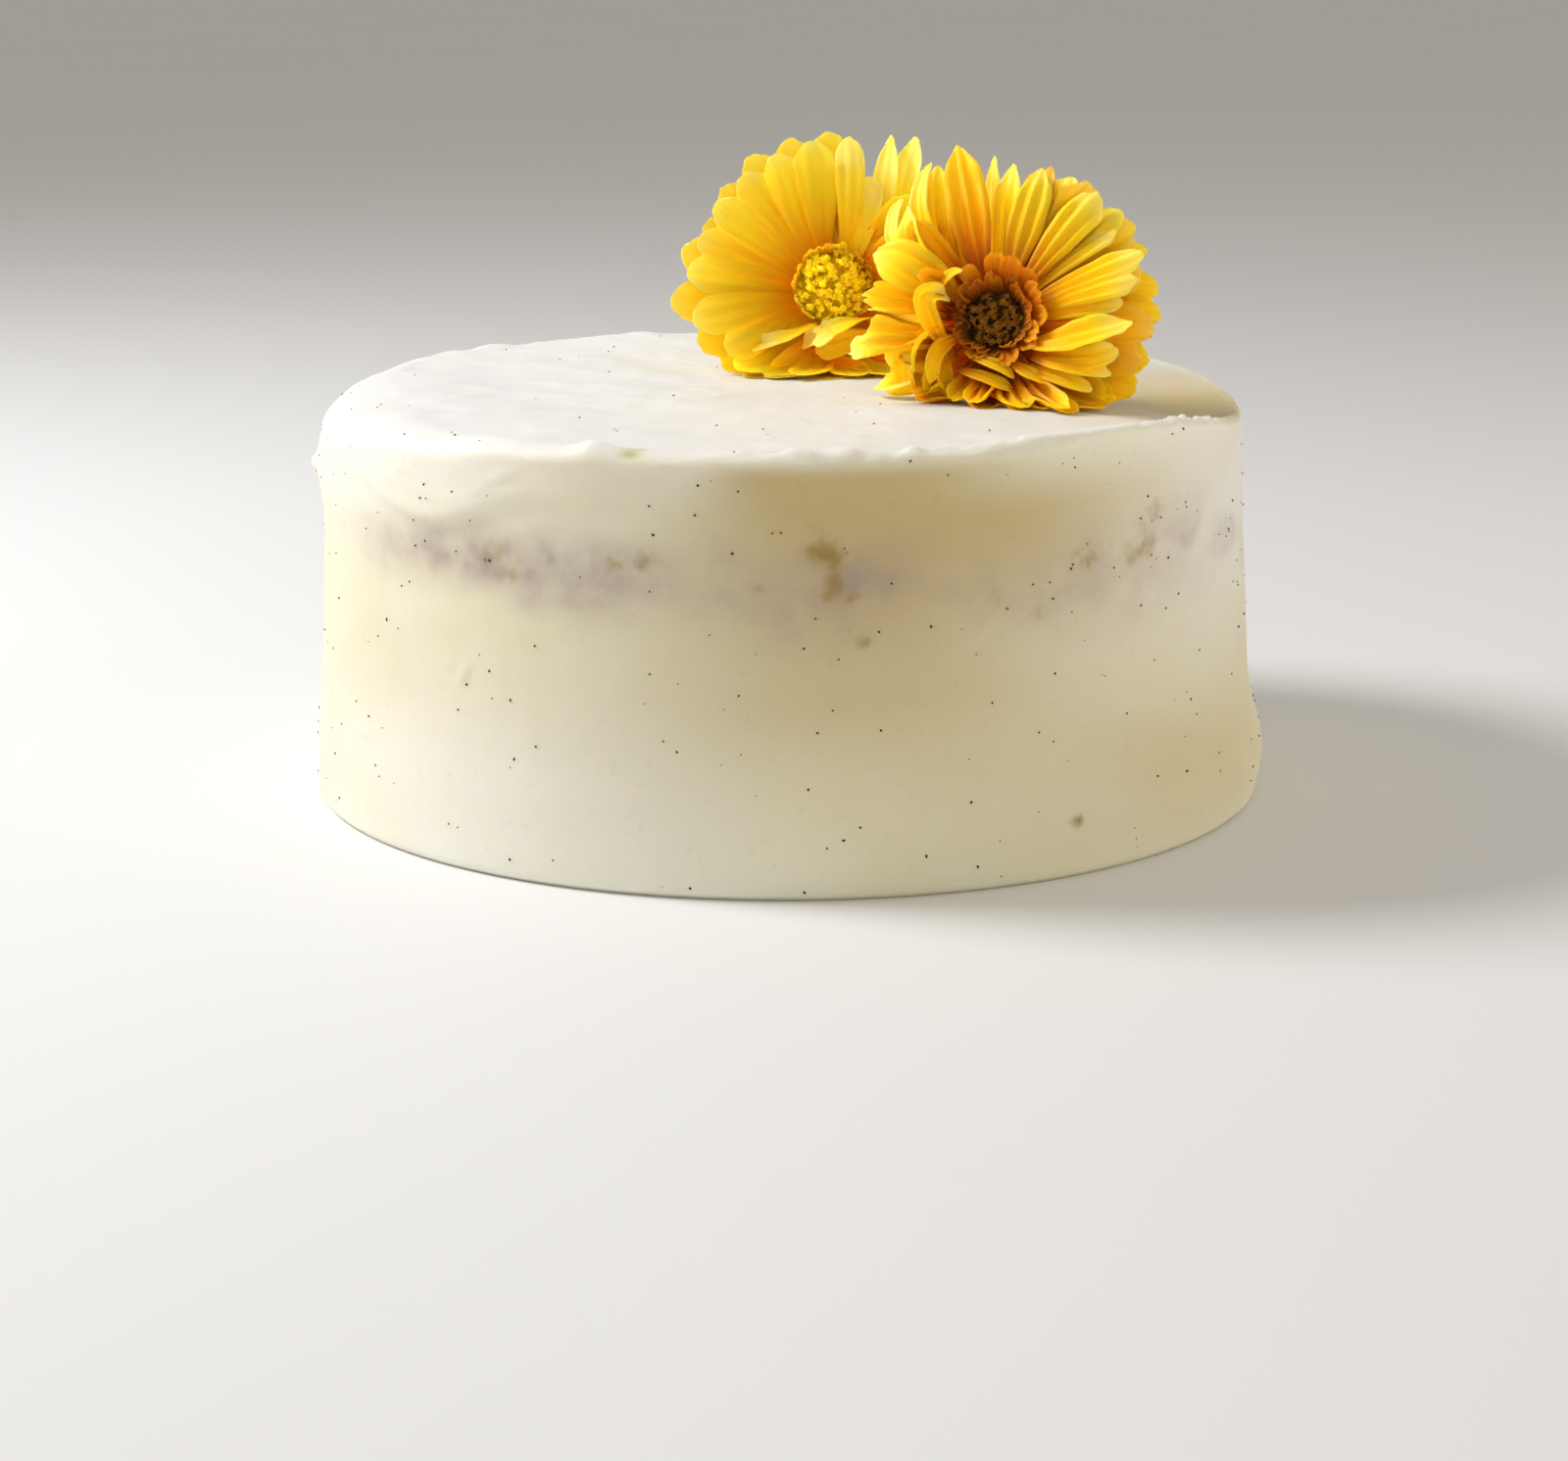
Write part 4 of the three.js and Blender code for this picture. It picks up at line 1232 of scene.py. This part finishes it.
def receptacle_mesh(head, material):
    """The low cone that the petals grow from, round the disc and in front of the green cup."""
    cup = hub_radius(head)
    profile = [
        (0, 0.75), (cup * 1.03, 0.75), (cup * 1.02, 0.95), (cup - 0.6, 1.3), (cup - 1.2, 2.1),
        (cup - 1.6, 3.0), (0, 0.95),
    ]
    cone = turned_mesh(head_frame(head), profile, DOME_COLUMNS, material)
    give_attributes(cone, along=0.12, across=0.0, tone=0.5, paleness=0.0)
    return cone


def collar_mesh(head, growth, material):
    """Narrow, upright petals that stand close round the disc."""
    collar = head["collar"]
    postures = []
    for index in range(collar["count"]):
        degrees = index * 360 / collar["count"] + 5 * spread(index, 40)
        posture = petal_posture(head, INNER_WHORL, index + FIRST_IN_COLLAR, degrees)
        posture.update({"rise": (84 + 6 * spread(index, 41), 58 + 14 * spread(index, 42)), "roll": 0.3})
        posture.update({"length": collar["length"], "radius": head["disc_radius"] - 0.5, "ahead": 2.6})
        postures.append(posture)
    fan = fan_mesh(head, INNER_WHORL, growth, material, collar, postures, COLLAR_SEED)
    return thickened(fan, PETAL_THICKNESS)


# The radius of a floret's foot, and how small and large florets come, as shares of their size.
FLORET_FOOT = 0.32
FLORET_SMALLEST = 0.7
FLORET_LARGEST = 1.3


def floret_mesh(lobes, height, foot, mouth):
    """A small tube that opens into a star, 1 unit to a millimetre."""
    sides = lobes * 2
    profile = ((0.0, foot, 0.0), (0.45, foot * 0.8, 0.0), (0.8, mouth * 0.6, 0.1), (1.0, mouth, 0.5))
    points = []
    for share, radius, starred in profile:
        for side in range(sides):
            reach = radius * (1 - starred * (side % 2))
            turn = math.tau * side / sides
            points.append((reach * math.cos(turn), reach * math.sin(turn), share * height))
    points.append((0, 0, height * 0.55))
    faces = []
    for row in range(len(profile) - 1):
        for side in range(sides):
            beside = (side + 1) % sides
            start = row * sides
            faces.append((start + side, start + beside, start + sides + beside, start + sides + side))
    last = (len(profile) - 1) * sides
    for side in range(sides):
        faces.append((last + side, last + (side + 1) % sides, len(points) - 1))
    mesh = bpy.data.meshes.new("floret")
    mesh.from_pydata(points, [], faces)
    mesh.shade_smooth()
    give_attributes(mesh, along=[point[2] / height for point in points])
    return mesh


def disc_growth():
    """Florets in the spiral of a daisy's disc, leaning outwards towards its edge."""
    growth = Growth("disc_florets")
    count = growth.size("Count", "Int")
    radius, dome, lean, disorder = growth.sizes("Disc radius", "Dome height", "Lean", "Disorder")
    smallest, largest = growth.sizes("Smallest scale", "Largest scale")
    order = growth.wire("GeometryNodeInputIndex")
    share = (order + 0.5) / count
    away = growth.math("SQRT", share)
    turn = order * math.radians(GOLDEN_TURN)
    reach = radius * away
    x, y = (reach * growth.math(wave, turn) for wave in ("COSINE", "SINE"))
    inputs = {"Count": count, "Position": growth.vector(x, y, dome * (1.0 - share))}
    points = growth.wire("GeometryNodePoints", inputs)
    other_way = disorder * -1.0
    tilt = lean * away + growth.random(other_way, disorder, 5)
    rotation = growth.vector(growth.random(other_way, disorder, 6), tilt, turn)
    scale = growth.random(smallest, largest, 7)
    growth.finish(growth.set_out(points, growth.start(), rotation, scale))
    return growth


def disc_mesh(head, florets, material):
    """The disc: a dome under a spiral of florets."""
    place = head_frame(head)
    disc = head["disc"]
    shape = floret_mesh(disc["lobes"], disc["floret"], FLORET_FOOT, disc["mouth"])
    sizes = {
        "Count": disc["count"], "Disc radius": disc["radius"], "Dome height": disc["dome"],
        "Lean": disc["lean"], "Disorder": disc["disorder"], "Smallest scale": FLORET_SMALLEST,
        "Largest scale": FLORET_LARGEST, "Material": material,
    }
    spiral = florets.grow(sizes, shape)
    level = HUB_LAYER * len(head["whorls"]) + disc["sunk"]
    move_points(spiral, in_head(place, mesh_points(spiral) + [0, 0, level]))
    edge = disc["radius"] + 0.5
    profile = [(0, 0.4), (edge, 0.4), (edge, level)]
    for share in (0.85, 0.6, 0.3):
        profile.append((edge * share, level + (disc["dome"] + 0.2) * (1 - share**2)))
    profile.append((0, level + disc["dome"]))
    dome = turned_mesh(place, profile, DOME_COLUMNS, material)
    give_attributes(dome, along=disc["filled"])
    return joined([spiral, dome])


# The two rows of bracts: how many, how far from the stalk's middle, how far ahead and how long.
BRACT_ROWS = ((19, 3.0, -8.6, 9.5), (21, 5.6, -6.9, 9.0))


def calyx_mesh(head, bracts, material):
    """The green cup with two rows of pointed bracts, and the cut stalk."""
    cup = hub_radius(head)
    profile = [
        (0, -STALK_END), (STALK_RADIUS * 0.86, -STALK_END), (STALK_RADIUS, -STALK_END + 0.5),
        (STALK_RADIUS * 0.94, -STALK_END * 0.75), (STALK_RADIUS, -CALYX_DEPTH - 1.5),
        (STALK_RADIUS * 1.5, -CALYX_DEPTH + 0.4), (cup * 0.52, -CALYX_DEPTH * 0.8),
        (cup * 0.78, -CALYX_DEPTH * 0.52), (cup * 0.94, -CALYX_DEPTH * 0.2), (cup, -0.4), (cup, 0.7),
        (0, 0.8),
    ]
    body = turned_mesh(head_frame(head), profile, CUP_COLUMNS, material, CUP_RIB_DEPTH)
    give_attributes(body, along=0.2, across=0.0, tone=0.5, paleness=0.0)
    leaves = []
    for row, (count, radius, ahead, length) in enumerate(BRACT_ROWS):
        kind = {"length": length, "width": BRACT_WIDTH, "pleat": 0.03, "ragged": 0.01}
        postures = []
        for index in range(count):
            postures.append({
                "angle": (index + 0.5 * row) * 360 / count + 4 * spread(index, 30), "radius": radius,
                "ahead": ahead, "length": length, "rise": (18, 78 + 6 * spread(index, 31)), "wave": 0,
                "phase": 0, "bend": 5 * spread(index, 32), "twist": 6 * spread(index, 33), "roll": -0.3,
                "ruffle": 0.1, "breadth": 1.0, "paleness": 0.0, "shade": 0.0, "floor": -100.0,
            })
        leaves.append(fan_mesh(head, 0, bracts, material, kind, postures, BRACT_SEED + row))
    return joined([body, thickened(joined(leaves), BRACT_THICKNESS)])


# The colours of petals, from their root to their tip.

PETAL_STOPS = (
    (0.0, (0.92, 0.36, 0.002)), (0.22, (0.97, 0.54, 0.002)), (0.55, (0.98, 0.74, 0.008)),
    (0.85, (0.98, 0.86, 0.045)), (1.0, (0.98, 0.92, 0.18)),
)
GOLDEN_STOPS = (
    (0.0, (0.44, 0.10, 0.001)), (0.16, (0.70, 0.27, 0.001)), (0.42, (0.87, 0.57, 0.002)),
    (0.8, (0.95, 0.80, 0.02)), (1.0, (0.97, 0.90, 0.16)),
)
INNER_STOPS = (
    (0.0, (0.24, 0.055, 0.002)), (0.35, (0.42, 0.135, 0.002)), (0.75, (0.62, 0.25, 0.002)),
    (1.0, (0.82, 0.43, 0.004)),
)
REAR_INNER_STOPS = ((0.0, (0.60, 0.22, 0.002)), (0.5, (0.88, 0.56, 0.004)), (1.0, (0.96, 0.80, 0.03)))
COLLAR_STOPS = ((0.0, (0.05, 0.018, 0.003)), (0.5, (0.22, 0.075, 0.005)), (1.0, (0.58, 0.22, 0.010)))
CALYX_STOPS = ((0.0, (0.10, 0.20, 0.03)), (0.5, (0.16, 0.30, 0.05)), (1.0, (0.30, 0.40, 0.10)))

# The colours of florets, at their foot and their mouth.
GREEN_FLORETS = ((0.74, 0.47, 0.003), (0.88, 0.68, 0.012))
DARK_FLORETS = ((0.045, 0.018, 0.002), (0.27, 0.12, 0.010))


# The scene. Places are in metres.

CAMERA_DISTANCE = 0.750
CAMERA_HEIGHT = 0.196
CAMERA_DIP = 13.9
CAMERA_LENS = 73.8
CAMERA_SENSOR = 36
CAMERA_RANGE = 60

FLOOR_HALF = 15.0
FLOOR_COLOURS = ((0.86, 0.86, 0.86), (0.89, 0.89, 0.88))
LIT_POINT = (0.0, 0.0, 0.07)
# Each light's name, its place, size and power, and its colour.
LIGHTS = (
    ("window", (-0.91, 0.12, 0.86), 0.46, 13.1, (0.94, 0.955, 0.985)),
    ("fill", (-0.10, -1.0, 0.55), 0.7, 0.72, (1.0, 0.97, 0.92)),
    ("bounce", (1.0, -0.05, 0.12), 0.8, 3.8, (1.0, 0.96, 0.90)),
)
ROOM_COLOUR = (1.0, 0.94, 0.86, 1.0)
ROOM_STRENGTH = 0.40


def add_camera():
    camera = new_object("camera", bpy.data.cameras.new("camera"))
    camera.location = (CAKE_AXIS[0] * MM, CAKE_AXIS[1] * MM - CAMERA_DISTANCE, CAMERA_HEIGHT)
    camera.rotation_euler = (math.radians(90 - CAMERA_DIP), 0, 0)
    camera.data.lens = CAMERA_LENS
    camera.data.sensor_width = CAMERA_SENSOR
    camera.data.clip_end = CAMERA_RANGE
    bpy.context.scene.camera = camera


def add_light(name, place, size, power, colour):
    """A round soft light that points at the cake."""
    light = bpy.data.lights.new(name, "AREA")
    light.shape = "DISK"
    light.size = size
    light.energy = power
    light.color = colour
    lamp = new_object(name, light)
    lamp.location = place
    lamp.rotation_euler = (Vector(LIT_POINT) - lamp.location).to_track_quat("-Z", "Y").to_euler()


def add_floor():
    corners = [(-1, -1, 0), (1, -1, 0), (1, 1, 0), (-1, 1, 0)]
    mesh = bpy.data.meshes.new("floor")
    mesh.from_pydata((np.array(corners) * FLOOR_HALF).tolist(), [], [(0, 1, 2, 3)])
    finish = Finish("pale_floor")
    mottle = finish.mix(finish.noise(3.0, 2.0), *FLOOR_COLOURS)
    finish.set(Base_Color=mottle, Roughness=0.6, Specular_IOR_Level=0.2)
    mesh.materials.append(finish.material)
    new_object("floor", mesh)


def add_surroundings():
    add_floor()
    for light in LIGHTS:
        add_light(*light)
    world = bpy.data.worlds.new("pale_room")
    world.use_nodes = True
    background = world.node_tree.nodes["Background"]
    background.inputs["Color"].default_value = ROOM_COLOUR
    background.inputs["Strength"].default_value = ROOM_STRENGTH
    bpy.context.scene.world = world
    bpy.context.scene.view_settings.view_transform = "Standard"


def add_frosting():
    """The frosted cake with its specks and crumbs."""
    mesh = frosted_cake(frosting_finish())
    piece("frosting", mesh, "frosting", "frosted_cake")
    scatter = scatter_growth()
    for name, slot, mask, density, smallest, largest, seed, finish in GRAINS:
        sizes = {
            "Grains per square metre": density, "Where": mask, "Smallest radius": smallest * MM,
            "Largest radius": largest * MM, "Longest stretch": GRAIN_STRETCH, "Seed": seed,
            "Material": plain_finish(*finish),
        }
        piece(name, scatter.grow(sizes, mesh.copy()), slot)


def add_head(head, growths, materials):
    """A flower head's pieces: its disc, its cup, its whorls of petals and its collar."""
    name = head["name"]
    disc = disc_mesh(head, growths["florets"], materials[name + "_disc"])
    piece(name + "_florets", disc, head["disc_slot"], name + "_disc")
    calyx = calyx_mesh(head, growths["bract"], materials["calyx"])
    piece(name + "_cup", calyx, "calyx", name + "_calyx")
    for order, whorl in enumerate(head["whorls"]):
        kind, slot = ("inner", "petal_inner") if order == INNER_WHORL else ("petal", "petal")
        seed = WHORL_SEEDS_APART * order + head["seed"]
        mesh = whorl_mesh(head, order, growths, materials[f"{name}_{kind}"], seed)
        node = f"{name}_{whorl['name']}"
        piece(node.replace("petals", "rays"), mesh, slot, node)
    if "collar" in head:
        collar = collar_mesh(head, growths["blunt"], materials["collar"])
        piece(name + "_collar", collar, "petal_inner")


def main():
    add_camera()
    add_surroundings()
    add_frosting()
    growths = {name: petal_growth(name + "_fan", outline) for name, outline in OUTLINES.items()}
    growths["florets"] = disc_growth()
    materials = {
        "rear_flower_petal": petal_finish("yellow_petal", PETAL_STOPS),
        "front_flower_petal": petal_finish("golden_petal", GOLDEN_STOPS),
        "rear_flower_inner": petal_finish("amber_petal", REAR_INNER_STOPS),
        "front_flower_inner": petal_finish("orange_petal", INNER_STOPS),
        "collar": petal_finish("brown_petal", COLLAR_STOPS),
        "calyx": petal_finish("green_calyx", CALYX_STOPS),
        "rear_flower_disc": floret_finish("green_florets", *GREEN_FLORETS),
        "front_flower_disc": floret_finish("dark_florets", *DARK_FLORETS),
    }
    for head in (REAR_HEAD, FRONT_HEAD):
        add_head(head, growths, materials)


main()
